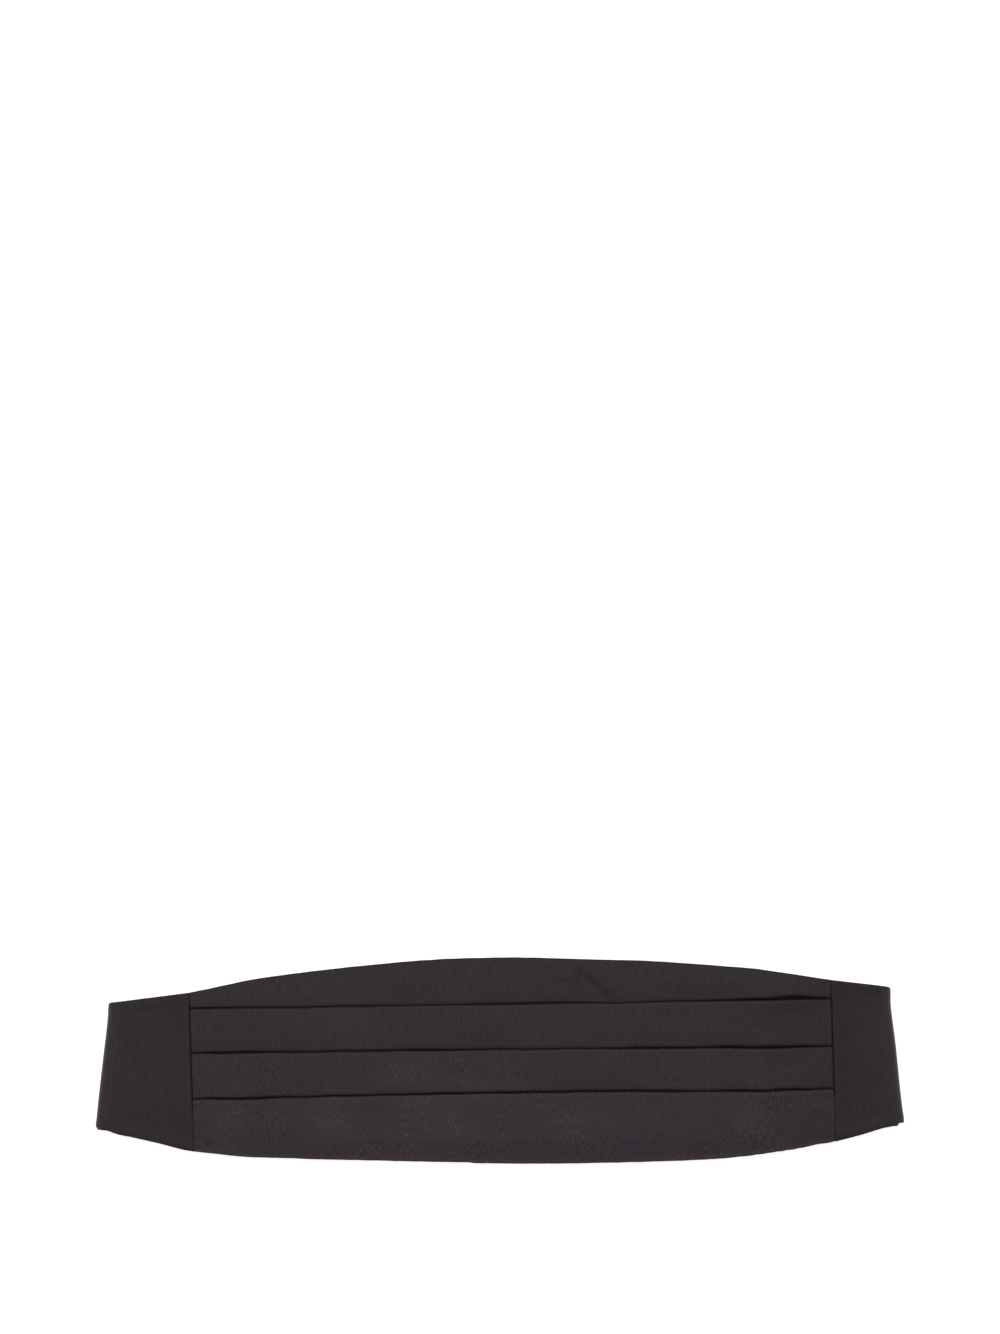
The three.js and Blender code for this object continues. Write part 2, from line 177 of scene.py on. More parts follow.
# The cloth as it is seen: thinner than the part's plain walls, in the same place
CLOTH = 0.8
LAYER = 1.0  # from one layer of a pleat to the next
BELLY = 0.2  # how far each band swells between its edges
LEDGE = 1.3  # a band's height over the foot of the pleats where it turns down under the next pleat
LEDGE_RADIUS = 1.1
SLIT = 0.35  # gap between an open pleat's edge and the band above it
SLIT_LEAST = 0.03
PLEAT_LIFT = 0.35  # how far a pleat's edge lifts for each step of openness past its usual one
PLEAT_USUAL = 0.7
TIGHT_ROLL = 0.3  # share of the usual roll of a band over a pleat that lies tight
TIGHT_SHADOW = 0.05  # share of the usual shadow in its gap
TIGHT_OPEN = 0.3  # the openness below which a pressed edge catches the light, the more the tighter it lies
TIGHT_SHINE = 0.5  # gain in the satin's tone there, a painted highlight
TIGHT_SHINE_WIDTH = 0.8
SQUEEZE = 0.12  # share of a pleat's height that is lost at the seams
SQUEEZE_RUN = 14
ROLL_RADIUS = 1.0  # of the cloth where it turns down into a seam
ROLL_DROP = 0.7
ROLL_SHALLOW = 0.1  # share of that drop beside the first and last bands
SEAM_GAP = 0.04
SEAM_LEAN = 0.6  # how far a wing's end reaches under the front's, so that no light shows between them
SEAM_LEAN_TOP = 12.8
SEAM_LEAN_RUN = 2.5

# Where the front's hems and the pleats' edges wander from their smooth lines. x is a pixel column of the
# photograph, and shift and width are millimetres: up is positive.
WANDERS = table(
    "edge x shift width",
    ("top", 265, 0.35, 20),
    ("top", 430, 0.3, 26),
    ("top", 532, 0.5, 34),
    ("top", 652, 0.65, 28),
    ("top", 755, 0.4, 9),
    ("first", 235, 0.2, 14),
    ("first", 622, -0.45, 22),
    ("first", 805, 0.1, 10),
    ("second", 228, -0.3, 9),
    ("second", 660, -0.25, 20),
    ("second", 760, -0.55, 20),
    ("third", 208, 0.3, 6),
    ("third", 246, -0.7, 14),
    ("third", 600, 0.1, 18),
    ("third", 690, -0.4, 34),
    ("third", 760, -0.85, 16),
    ("third", 822, 0.5, 7),
    ("bottom", 280, 0.45, 16),
)

# How open each pleat's gap is at pixel columns of the photograph: nought where its edge lies tight on the
# band above, and one where it stands a little open
GAPS = table(
    "x first second third",
    (190, 0.6, 0.4, 0.3),
    (240, 0.35, 1.15, 1.2),
    (290, 0.15, 0.35, 0.6),
    (355, 0.35, 0.55, 0.7),
    (405, 0, 0.85, 0.9),
    (440, 0, 0.7, 1.2),
    (490, 0.3, 0.35, 1),
    (550, 0.55, 0.2, 0.8),
    (605, 0, 0.35, 1.3),
    (660, 0.1, 1.05, 1.1),
    (705, 0.2, 1.15, 0.6),
    (745, 1, 1.7, 1.4),
    (786, 2.4, 1.8, 1.1),
    (812, 2, 0.8, 0.5),
    (835, 0, 0.4, 0.3),
)

# Creases and swells of the front, each a soft ridge between two pixels of the photograph. height and width
# are millimetres, and a dent's height is below zero. gain is the change in the satin's tone: painted shade
# in a dent and a painted highlight on a ridge.
CREASES = table(
    "start end height width gain",
    ((583, 973), (611, 998), -0.33, 2.4, -0.26),
    ((562, 981), (579, 981), -0.12, 1.4, -0.16),
    ((336, 1137), (500, 1138), 0.1, 0.8, 0.08),
    ((500, 1138), (690, 1138), 0.12, 0.8, 0.08),
    ((654, 1142), (690, 1142), -0.12, 1.2, -0.16),
    ((390, 1086), (436, 1066), 0.2, 6, 0),
    ((330, 1104), (328, 1138), 0.25, 7, 0),
    ((456, 1114), (456, 1134), 0.2, 5, 0),
    ((752, 1100), (748, 1130), 0.35, 8, 0),
    ((764, 1056), (764, 1086), 0.25, 6, 0),
    ((330, 1102), (520, 1106), 0.2, 5, 0),
)

# Patches of painted sheen and painted shade, where the satin is made lighter or darker, as ovals round
# pixels of the photograph
PAINTED_SHEEN_PATCHES = table(
    "middle reach gain",
    ((106, 1050), (22, 70), 0.09),
    ((892, 1060), (18, 70), 0.09),
    ((500, 985), (260, 26), -0.06),
    ((345, 1022), (30, 20), 0.12),
    ((700, 990), (120, 16), -0.05),
    ((425, 1078), (34, 12), 0.25),
    ((500, 1085), (45, 8), 0.18),
    ((225, 1118), (16, 24), 0.22),
    ((330, 1122), (26, 22), 0.3),
    ((430, 1112), (60, 22), 0.26),
    ((458, 1128), (18, 12), 0.22),
    ((600, 1118), (90, 18), 0.18),
    ((752, 1120), (16, 20), 0.22),
    ((620, 1150), (90, 8), -0.06),
    ((820, 1060), (34, 80), -0.08),
)

# Gentle unevenness of the cloth: its height, its shortest and longest waves in millimetres, and its seed
RIPPLE_WAVES = 14
RIPPLES = {
    "top_hem": (0.05, 8, 30, 11),
    "lower_hem": (0.05, 5, 20, 12),
    "pleat_edge": (0.12, 8, 60, 21),
    "gap": (0.4, 15, 70, 61),
    "front_swell": (0.14, 45, 140, 31),
    "front_pucker": (0.05, 14, 40, 32),
    "left_swell": (0.2, 40, 110, 41),
    "left_pucker": (0.05, 12, 30, 42),
    "right_swell": (0.2, 40, 110, 51),
    "right_pucker": (0.05, 12, 30, 52),
}


def smooth_column(rows, column, at):
    """The value of a table's column at places along it, on a smooth curve through its rows."""
    ats = np.array([row["at"] for row in rows], float)
    values = np.array([row[column] for row in rows], float)
    last = len(rows) - 1
    before = np.maximum(np.arange(last + 1) - 1, 0)
    after = np.minimum(np.arange(last + 1) + 1, last)
    slopes = (values[after] - values[before]) / (ats[after] - ats[before])
    at = np.asarray(at, float)
    k = np.clip(np.searchsorted(ats, at) - 1, 0, last - 1)
    span = ats[k + 1] - ats[k]
    t = (at - ats[k]) / span
    ease = t * t * (3 - 2 * t)
    return (
        values[k] * (1 - ease)
        + values[k + 1] * ease
        + slopes[k] * span * t * (1 - t) ** 2
        - slopes[k + 1] * span * t * t * (1 - t)
    )


def smoothstep(value, low, high):
    """Nought at low and one at high, which may be the smaller."""
    t = np.clip((value - low) / (high - low), 0, 1)
    return t * t * (3 - 2 * t)


def mix(a, b, share):
    return a + (b - a) * share


def ripple(name, x, y=0.0, number=0):
    """A gentle uneven swell of waves that run all ways. number gives each of several pieces its own."""
    height, shortest, longest, seed = RIPPLES[name]
    random = np.random.default_rng(seed + number)
    total = np.zeros(np.broadcast(x, y).shape)
    for _ in range(RIPPLE_WAVES):
        turns = 2 * math.pi / random.uniform(shortest, longest)
        angle, phase = random.uniform(0, 2 * math.pi, 2)
        total += np.sin(turns * (x * math.cos(angle) + y * math.sin(angle)) + phase)
    return height * (total / math.sqrt(RIPPLE_WAVES))


# The front's frame in the part's: both middles follow from the same outline
OUTLINE_STEPS = 400


def panel_edge(at, column):
    """Where the front's top or bottom hem runs, at shares of half its length."""
    return PANEL_HEIGHT * smooth_column(OUTLINE, column, at)


def panel_shift():
    """How far the front's frame lies from the part's."""
    along = np.linspace(-1, 1, OUTLINE_STEPS)
    low = (-FRONT_HALF - SEAM_SLOPE * panel_edge(-1, "top"), panel_edge(along, "bottom").min())
    high = (FRONT_HALF - SEAM_SLOPE * panel_edge(1, "bottom"), panel_edge(along, "top").max())
    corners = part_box("pleated_front")
    return [(corners[0][i] + corners[1][i]) / 2 / MM - (low[i] + high[i]) / 2 for i in (0, 1)]


SHIFT = panel_shift()


def photo_point(pixel):
    """The millimetres, in the front's frame, of a pixel of the photograph."""
    across = pixel[0] - ORIGIN_PIXEL[0]
    up = ORIGIN_PIXEL[1] - pixel[1]
    x = PIXEL * (across + PHOTO_TURN * up) - SHIFT[0]
    y = PIXEL * (up - PHOTO_TURN * across) - SHIFT[1]
    return x, y


def photo_column(pixel_x):
    """The place along the front of a pixel column of the photograph."""
    return photo_point((pixel_x, ORIGIN_PIXEL[1]))[0]


PLAIN_TONE = 0.5


def painted_sheen_at(x, y):
    """The satin's painted sheen and shade from its patches, at points in the front's frame."""
    right, up = (x + SHIFT[0]) / PIXEL, (y + SHIFT[1]) / PIXEL
    pixel_x = ORIGIN_PIXEL[0] + right - PHOTO_TURN * up
    pixel_y = ORIGIN_PIXEL[1] - up - PHOTO_TURN * right
    tone = PLAIN_TONE + 0 * pixel_x
    for sheen_patch in PAINTED_SHEEN_PATCHES:
        (middle_x, middle_y), (reach_x, reach_y) = sheen_patch["middle"], sheen_patch["reach"]
        off = ((pixel_x - middle_x) / reach_x) ** 2 + ((pixel_y - middle_y) / reach_y) ** 2
        tone += sheen_patch["gain"] * np.exp(-off)
    return tone


# Making meshes
def placed(name, data):
    """A new object in the scene."""
    thing = bpy.data.objects.new(name, data)
    bpy.context.scene.collection.objects.link(thing)
    return thing


def smooth_piece(name, points, faces):
    """A smooth mesh of faces between points in the front's frame."""
    mesh = bpy.data.meshes.new(name)
    moved = (np.asarray(points) + [SHIFT[0], SHIFT[1], 0]) * MM
    mesh.from_pydata(moved.tolist(), [], faces)
    mesh.polygons.foreach_set("use_smooth", np.ones(len(faces), bool))
    mesh.update()
    return placed(name, mesh)


def slab(name, over, under, cloth):
    """A closed mesh between two grids of points, with a rim round all four borders. cloth holds the place of
    each point on the flat cloth, for its weave."""
    rows, columns = over.shape[:2]
    count = rows * columns
    index = np.arange(count).reshape(rows, columns)
    a, b, c, d = index[:-1, :-1], index[1:, :-1], index[1:, 1:], index[:-1, 1:]
    upper = np.stack([a, b, c, d], -1).reshape(-1, 4)
    lower = np.stack([d, c, b, a], -1).reshape(-1, 4) + count
    border = np.concatenate([index[0, :-1], index[:-1, -1], index[-1, :0:-1], index[:0:-1, 0]])
    following = np.roll(border, -1)
    rim = np.stack([border, following, following + count, border + count], -1)
    faces = np.concatenate([upper, lower, rim])
    points = np.concatenate([over.reshape(-1, 3), under.reshape(-1, 3)])
    corners = points[faces]
    volume = (corners[:, 0] * np.cross(corners[:, 1], corners[:, 2])).sum()
    volume += (corners[:, 0] * np.cross(corners[:, 2], corners[:, 3])).sum()
    if volume < 0:
        faces = faces[:, ::-1]
    piece = smooth_piece(name, points, faces.tolist())
    flat = np.tile(cloth.reshape(-1, 2) * MM, (2, 1))
    piece.data.uv_layers.new(name="cloth").uv.foreach_set("vector", flat[faces.ravel()].ravel())
    return piece


def mark(piece, name, values):
    """Keeps a number from 0 to 1 at each point of a slab, the same on both of its sides."""
    layer = piece.data.attributes.new(name, "FLOAT", "POINT")
    layer.data.foreach_set("value", np.tile(np.clip(values, 0, 1).ravel(), 2))


EDGE_TURN = (12, 90)  # degrees of turn at the first and last rows of a rounded edge


def edge_rows(steps, radius):
    """Distances in from a rounded edge, and the share of the wall's thickness at each."""
    turn = np.radians(np.linspace(*EDGE_TURN, steps))
    return radius * (1 - np.cos(turn)), np.sin(turn)


# The pleated front
BAND_STEPS = 15
LEDGE_STEPS = 6
TURN_STEPS = 7
HIDDEN_STEPS = 4
STATION = 1.6
SEAM_STATION = 0.35
SEAM_RUN = 3  # the run beside a seam that has the closer stations

LIFT_REACH = 6  # how far down a band its lifted edge reaches
EDGE_SHADE_REACH = 2.2  # how far from a folded edge the painted shade reaches that makes it darker and cooler
HEM_HIGHLIGHT = 1.2  # how far inside the lower hem its painted highlight runs, and half that line's width
HEM_HIGHLIGHT_WIDTH = 0.6
HEM_HIGHLIGHT_GAIN = 1.1
HEM_STEP = 0.45  # how far the front's lower hem hangs below its plain line past its step
HEM_STEP_START = (464, 474)  # pixel columns
HEM_STEP_END = (500, 690)
ROUGH_HEM_COLUMN = 792
ROUGH_HEM_WIDTH = 26
ROUGH_HEM = 4  # how much rougher the lower hem is there
CREASE_TAPER = 1.6  # how much further a crease fades past its ends than across it
SHALLOW_RUN = 8  # how far past the outer pleats a seam becomes shallow
SWELL_RUN = 20  # how far from a seam the front swells and puckers freely
PUCKER_RUN = 8
LINE_DROP = 0.3  # how far a pleat's edge lies below the dark line that its gap makes
BAND_GLOW = [0.1, 0.2, 0.6, 1.0]  # how much each band's weave catches the light
TURN_PAINTED_SHEEN = 0.5  # painted sheen: gain in the satin's tone where a wing turns under
TURN_SHEEN_AT = -0.68  # its middle and reach, as shares of the quarter turn
TURN_SHEEN_REACH = 0.25


def bump(x, column, width):
    """A soft swell round a pixel column of the photograph."""
    return np.exp(-(((x - photo_column(column)) / width) ** 2))


def openness(x, pleat):
    """How open a pleat's gap is at places along the front."""
    rows = [{"at": photo_column(row["x"]), "open": row[pleat]} for row in GAPS]
    return np.clip(smooth_column(rows, "open", x), 0, None)


def wander(x, edge):
    """How far an edge lies above its smooth line."""
    rows = [row for row in WANDERS if row["edge"] == edge]
    return sum(row["shift"] * bump(x, row["x"], row["width"]) for row in rows)


def hem_step(x):
    """How far the lower hem hangs below its plain line: a sudden step, then a slow return."""
    start, end = ([photo_column(column) for column in pair] for pair in (HEM_STEP_START, HEM_STEP_END))
    return HEM_STEP * smoothstep(x, *start) * smoothstep(x, end[1], end[0])


def creased(x, y, key):
    """The sum of all creases at points of the front, in height or in their painted shade and highlight."""
    total = np.zeros(np.broadcast(x, y).shape)
    for crease in CREASES:
        (x1, y1), (x2, y2) = photo_point(crease["start"]), photo_point(crease["end"])
        length = math.hypot(x2 - x1, y2 - y1)
        away_x, away_y = (x2 - x1) / length, (y2 - y1) / length
        along = (x - x1) * away_x + (y - y1) * away_y
        off = (y - y1) * away_x - (x - x1) * away_y
        past = np.maximum(np.maximum(-along, along - length), 0)
        total += crease[key] * np.exp(-(off**2 + (past / CREASE_TAPER) ** 2) / crease["width"] ** 2)
    return total


def seam_lean(height, inside):
    """How far the end of a piece at a seam stands towards the middle, at some height."""
    depth = np.clip((SEAM_LEAN_TOP - height) / (2 * CLOTH), 0, 1)
    return SEAM_LEAN * depth * (1 - smoothstep(inside, 0, SEAM_LEAN_RUN))


def seam_drop(inside, y):
    """How far cloth has turned down at some distance from a seam, least near the seam's ends."""
    inward = np.clip(1 - inside / ROLL_RADIUS, 0, 1)
    drop = ROLL_DROP * (1 - np.sqrt(1 - inward**2))
    first = PANEL_HEIGHT * PLEAT_EDGES[1]["first"]
    third = PANEL_HEIGHT * PLEAT_EDGES[1]["third"]
    between = smoothstep(y, third - SHALLOW_RUN, third) * smoothstep(y, first + SHALLOW_RUN, first)
    return drop * mix(ROLL_SHALLOW, 1, between)


def front_stations(half):
    """Places along the front, closer together beside its seams."""
    even = np.linspace(-half + SEAM_RUN, half - SEAM_RUN, round(2 * half / STATION))
    near = np.arange(0, SEAM_RUN, SEAM_STATION)
    return np.concatenate([-half + near, even, (half - near)[::-1]])


def front_share(x):
    """Places along the front as shares of half its length."""
    return np.clip(x / FRONT_HALF, -1, 1)


def front_edges(x):
    """Where the front's top hem, its pleats' edges and its lower hem run."""
    at = front_share(x)
    rough = bump(x, ROUGH_HEM_COLUMN, ROUGH_HEM_WIDTH)
    bottom = panel_edge(at, "bottom") + wander(x, "bottom") - hem_step(x)
    bottom = bottom + (1 + ROUGH_HEM * rough) * ripple("lower_hem", x)
    edges = [panel_edge(at, "top") + wander(x, "top") + ripple("top_hem", x)]
    for number, pleat in enumerate(PLEATS):
        edge = PANEL_HEIGHT * smooth_column(PLEAT_EDGES, pleat, at) - LINE_DROP
        edges.append(edge + wander(x, pleat) + ripple("pleat_edge", x, number=number))
    return [*edges, bottom]


class Section:
    """The front's cloth, followed from its top hem's raw edge to its lower one's, at all stations at once.
    Band 0 and edge 0 are the top ones. Heights are over the foot of the pleats."""

    last = len(PLEATS)
    turns = np.linspace(-math.pi / 2, math.pi / 2, TURN_STEPS + 2)[1:-1]

    def __init__(self, x, inside):
        self.edges = front_edges(x)
        self.opens = [openness(x, pleat) for pleat in PLEATS]
        self.lifts = [0, *(PLEAT_LIFT * np.maximum(opened - PLEAT_USUAL, 0) for opened in self.opens)]
        self.uneven = [1 + ripple("gap", x, number=band) for band in range(self.last)]
        self.layer = LAYER * (1 - SQUEEZE * (1 - smoothstep(inside, 0, SQUEEZE_RUN)))
        self.radius = self.layer / 2
        self.reach = self.radius + CLOTH / 2
        self.rows = []
        self.follow()

    def add(self, y, height, fold=0, gap=0):
        """Adds a row of points, with their nearness to a folded edge and their depth in a gap, which set
        where the satin's painted shade falls.
        """
        blank = 0 * self.layer
        self.rows.append((y + blank, height + blank, fold + blank, gap + blank))

    def lifted(self, band, y):
        return self.lifts[band] * np.exp(-(((self.edges[band] - y) / LIFT_REACH) ** 2))

    def level(self, band, y):
        """The height of a band's cloth."""
        upper, lower = self.edges[band], self.edges[band + 1]
        ledge = LEDGE * self.layer / LAYER
        high = ledge if band == 0 else 2 * self.layer
        low = self.layer if band == self.last else ledge
        share = (upper - y) / (upper - lower)
        belly = BELLY * 4 * np.clip(share * (1 - share), 0, 1)
        return mix(high, low, share) + belly + self.lifted(band, y)

    def turn(self, edge, height, way, turns):
        """Turns the cloth over at an edge that faces up the front, or down it where way is -1."""
        for angle in turns:
            y = edge - way * self.reach + way * self.radius * math.cos(angle)
            self.add(y, height + self.radius * math.sin(angle), 1)

    def under(self, band, start, end, steps):
        """Cloth that lies one layer under a band."""
        for share in np.linspace(0, 1, steps):
            y = mix(start, end, share)
            self.add(y, self.level(band, y) - self.layer)

    def face(self, band, last):
        """A band's face, from its upper edge."""
        upper = self.edges[band]
        for share in np.linspace(0, 1, BAND_STEPS):
            y = mix(upper - self.reach, last, share)
            self.add(y, self.level(band, y), np.exp(-(upper - y) / EDGE_SHADE_REACH))

    def pleat(self, band):
        """A band and the pleat under it: down into the gap, under the next band and back up to its edge."""
        below = band + 1
        edge = self.edges[below]
        loose = np.minimum(self.opens[band], 1)
        roll = LEDGE_RADIUS * mix(TIGHT_ROLL, 1, loose)
        shadow = mix(TIGHT_SHADOW, 1, loose)
        wall = edge + CLOTH / 2 + SLIT_LEAST + SLIT * self.opens[band] * self.uneven[band]
        last = wall + roll
        self.face(band, last)
        for angle in np.linspace(0, math.pi / 2, LEDGE_STEPS + 1)[1:]:
            y = wall + roll * (1 - math.sin(angle))
            self.add(y, self.level(band, last) * math.cos(angle), 0, shadow * (1 - math.cos(angle)))
        end = edge - PLEAT_DEPTH + self.reach
        for share in np.linspace(0, 1, HIDDEN_STEPS + 1):
            y = mix(edge, end, share)
            height = self.level(below, y) - self.lifted(below, y) - 2 * self.layer
            self.add(y, height, 0, shadow * (1 - share))
        middle = self.level(below, end) - self.lifted(below, end) / 2 - 1.5 * self.layer
        self.turn(edge - PLEAT_DEPTH, middle, -1, self.turns)
        self.under(below, end, edge - self.reach, HIDDEN_STEPS + 1)
        self.turn(edge, self.level(below, edge - self.reach) - self.radius, 1, self.turns)

    def follow(self):
        """The whole cloth, hem to hem."""
        top, bottom = self.edges[0], self.edges[-1]
        self.under(0, top - HEM_DEPTH, top - self.reach, HIDDEN_STEPS)
        self.turn(top, self.level(0, top - self.reach) - self.radius, 1, self.turns)
        for band in range(self.last):
            self.pleat(band)
        self.face(self.last, bottom + self.reach)
        height = self.level(self.last, bottom + self.reach) - self.radius
        self.turn(bottom, height, -1, self.turns[::-1])
        self.under(self.last, bottom + self.reach, bottom + HEM_DEPTH, HIDDEN_STEPS)


def front_painted_sheen(section, x, y):
    """The satin's painted sheen and shade all over the front: its patches and creases, the lower hem's
    painted highlight and the painted highlight along pressed pleats.
    """
    hem_highlight = np.exp(-(((y - section.edges[-1][:, None] - HEM_HIGHLIGHT) / HEM_HIGHLIGHT_WIDTH) ** 2))
    tone = painted_sheen_at(x, y) + creased(x, y, "gain") + HEM_HIGHLIGHT_GAIN * hem_highlight
    for edge, opened in zip(section.edges[1:], section.opens):
        pressed = smoothstep(opened, TIGHT_OPEN, 0)[:, None]
        tone += TIGHT_SHINE * pressed * np.exp(-(((y - edge[:, None]) / TIGHT_SHINE_WIDTH) ** 2))
    return tone


def front_floor(x, y, inside):
    """The height of the foot of the pleats."""
    base = TOP_Z - CLOTH / 2 - 2 * LAYER - BELLY / 2
    sag = PANEL_SAG * (1 - front_share(x) ** 2) ** 2
    swell = ripple("front_swell", x, y) * smoothstep(inside, 0, SWELL_RUN)
    swell = swell + ripple("front_pucker", x, y) * smoothstep(inside, 0, PUCKER_RUN)
    return base - sag - seam_drop(inside, y) + swell + creased(x, y, "height")


def pleated_front():
    half = (PANEL_LENGTH - SEAM_GAP) / 2
    stations = front_stations(half)
    section = Section(stations, half - np.abs(stations))
    y, height, fold, gap = (np.stack(column, 1) for column in zip(*section.rows))
    steps = np.hypot(np.diff(y, axis=1), np.diff(height, axis=1))
    lengths = np.concatenate([np.zeros((len(y), 1)), np.cumsum(steps, 1)], 1)
    slope_y = np.gradient(y, axis=1)
    slope_z = np.gradient(height, axis=1)
    size = np.hypot(slope_y, slope_z)
    x = stations[:, None]
    inside = half - np.abs(x)
    floor_z = front_floor(x, y, inside)

    def side(sign):
        side_y = y - sign * slope_z / size * CLOTH / 2
        side_z = floor_z + height + sign * slope_y / size * CLOTH / 2
        side_x = x - SEAM_SLOPE * side_y - np.sign(x) * seam_lean(side_z, inside)
        return np.stack([side_x, side_y, side_z], -1)

    piece = slab("front_satin", side(-1), side(1), np.stack([x + 0 * y, -lengths], -1))
    mark(piece, "fold", fold)
    mark(piece, "gap", gap)
    glow = np.full(y.shape, BAND_GLOW[0])
    for edge, amount in zip(section.edges[1:], BAND_GLOW[1:]):
        glow = np.where(y < edge[:, None], amount, glow)
    mark(piece, "glow", glow)
    mark(piece, "tone", front_painted_sheen(section, x, y))
    area = np.trapz(lengths[:, -1], stations)
    return piece, (PANEL_LENGTH * MM, lengths[:, -1].max() * MM), area * MM * MM


# The wings
WING_STEPS = 56
WING_EDGE_STEPS = 5
WING_STATION = 1.1
BACK_STATION = 2.2
TURN_STATION = 0.7
SEAM_RISE = 0.55  # how far a wing's faces stand out at its seam
WING_HEM = 0.14  # how far its turned hems stand out, and where they end, in from the edge
WING_HEM_END = (4.5, 7)
WING_EDGE_SHADE_REACH = 1.2  # how far from an edge the painted shade reaches that makes it darker and cooler
WING_SWELL_RUN = 6  # how far from an edge a wing swells freely
CALM_WALL = 1.2  # the wall's thickness, in plain walls, under which it does
HANG_START = 0.5  # how far up a wing its lower hem's hang begins
FLARE_RUN = 30  # how far from the fold its flare reaches
FLARE_TOP = 9  # how far down the fold its top corner's flare reaches
FOOT_ROUND = 1.6  # how far up the fold its foot is rounded
POCKET_RIM = 0.15  # how far the rim of a wing's pocket stands out of its tip, and how far it opens there
POCKET_FLARE = 0.35


def fold_axes(wing):
    """The middle of a wing's fold, and the directions out of it and up it."""
    angle = math.radians(wing["lean"])
    centre = np.array([wing["sign"] * (PANEL_LENGTH / 2 + wing["run"]), 0])
    outward = np.array([wing["sign"] * math.cos(angle), math.sin(angle)])
    up = np.array([-wing["sign"] * math.sin(angle), math.cos(angle)])
    return centre, outward, up


def folded_points(wing, along, across, out):
    """Points of a flat wing, folded: along is over the cloth from the middle of the fold, across is up the
    fold, and out is over the middle of the wall."""
    centre, outward, up = fold_axes(wing)
    turn = np.clip(along / FOLD_RADIUS, -math.pi / 2, math.pi / 2)
    flat_run = np.abs(along - turn * FOLD_RADIUS)
    reach = (FOLD_RADIUS + out) * np.cos(turn) - flat_run
    plan = centre + reach[..., None] * outward + across[..., None] * up
    height = FOLD_Z - (FOLD_RADIUS + out) * np.sin(turn)
    return np.concatenate([plan, height[..., None]], -1)


def seam_end(wing, column):
    """Where a seam's top or bottom end lies on the flat wing."""
    y = panel_edge(wing["sign"], column)
    x = wing["sign"] * (PANEL_LENGTH + SEAM_GAP) / 2 - y * SEAM_SLOPE
    centre, outward, up = fold_axes(wing)
    offset = np.array([x, y]) - centre
    return offset @ outward - QUARTER_RUN, offset @ up


def wing_rows(wing):
    """The table of a wing's edges, from where its fold starts to its tip."""
    tip = wing["tip"] * PANEL_HEIGHT
    shares = [{"at": -2 * QUARTER_RUN / WING_BACK, **wing["fold_start"]}, *wing["behind"]]
    sizes = {"at": WING_BACK, "top": PANEL_HEIGHT, "bottom": PANEL_HEIGHT}
    rows = [{column: row[column] * size for column, size in sizes.items()} for row in shares]
    return [*rows, {"at": WING_BACK, "top": tip + TIP_HEIGHT / 2, "bottom": tip - TIP_HEIGHT / 2}]


def wing_stations(wing):
    """The lines across a wing, from its seam to its tip. Each has the places along the wing of its top and
    bottom ends, how far up they lie, and how far out its outer and inner faces do."""
    top_along, top_across = seam_end(wing, "top")
    bottom_along, bottom_across = seam_end(wing, "bottom")
    rows = wing_rows(wing)
    half = WING_WALL / 2
    front_run = -QUARTER_RUN - (top_along + bottom_along) / 2
    near = np.arange(0, SEAM_RUN, SEAM_STATION)
    lines = []
    for run in [*near, *np.linspace(SEAM_RUN, front_run, round(front_run / WING_STATION))]:
        share = run / front_run
        along = [mix(end, -QUARTER_RUN, share) for end in (top_along, bottom_along)]
        across = [mix(top_across, rows[0]["top"], share), mix(bottom_across, rows[0]["bottom"], share)]
        rise = SEAM_RISE * (1 - smoothstep(run, 0, SEAM_RIDGE))
        lines.append([*along, *across, half + rise, -half - rise])
    turn = np.linspace(-2 * QUARTER_RUN, 0, round(2 * QUARTER_RUN / TURN_STATION))[1:]
    back = np.linspace(0, WING_BACK, round(WING_BACK / BACK_STATION))[1:]
    for run in [*turn, *back]:
        across = [smooth_column(rows, column, run) for column in ("top", "bottom")]
        rise = smoothstep(run, WING_BACK - TIP_RIDGE, WING_BACK - POCKET_DEPTH) * (TIP_WALL - WING_WALL)
        lines.append([run + QUARTER_RUN, run + QUARTER_RUN, *across, half, -half - rise])
    return lines


def pocket_lines(wing):
    """The lines that turn in at a wing's tip and line its pocket."""
    middle = WING_WALL / 2 - TIP_WALL / 2
    tip = PANEL_HEIGHT * wing["tip"]
    half = STRAP_WIDTH / 2 + SEAT
    gap = STRAP_WALL / 2 + SEAT
    lines = []
    for run, open_by in ((POCKET_RIM, POCKET_FLARE), (0, 0), (-POCKET_DEPTH, 0)):
        along = WING_BACK + run + QUARTER_RUN
        lines.append([along, along, tip + half, tip - half, middle + gap + open_by, middle - gap - open_by])
    return lines


def wing_across(wall, height):
    """Places up each line across a wing, over its lower edge, and the share of the wall that each has."""
    insets, shares = edge_rows(WING_EDGE_STEPS, 1)
    edge_in = insets[None, :] * wall / 2
    low = edge_in[:, -1:]
    middle = low + (height - 2 * low) * np.linspace(0, 1, WING_STEPS + 2)[1:-1]
    across = np.concatenate([edge_in, middle, (height - edge_in)[:, ::-1]], 1)
    return across, np.concatenate([shares, np.ones(WING_STEPS), shares[::-1]])


def wing_flare(wing, along, share, height):
    """How far the folded end stands out past its plain line."""
    flare = wing["flare"]["foot"] * (1 - share)
    flare = flare + wing["flare"]["top"] * np.exp(-(((1 - share) * height / FLARE_TOP) ** 2))
    flare = flare - wing["foot_round"] * np.exp(-((share * height / FOOT_ROUND) ** 2))
    return flare * smoothstep(np.abs(along), FLARE_RUN, QUARTER_RUN)


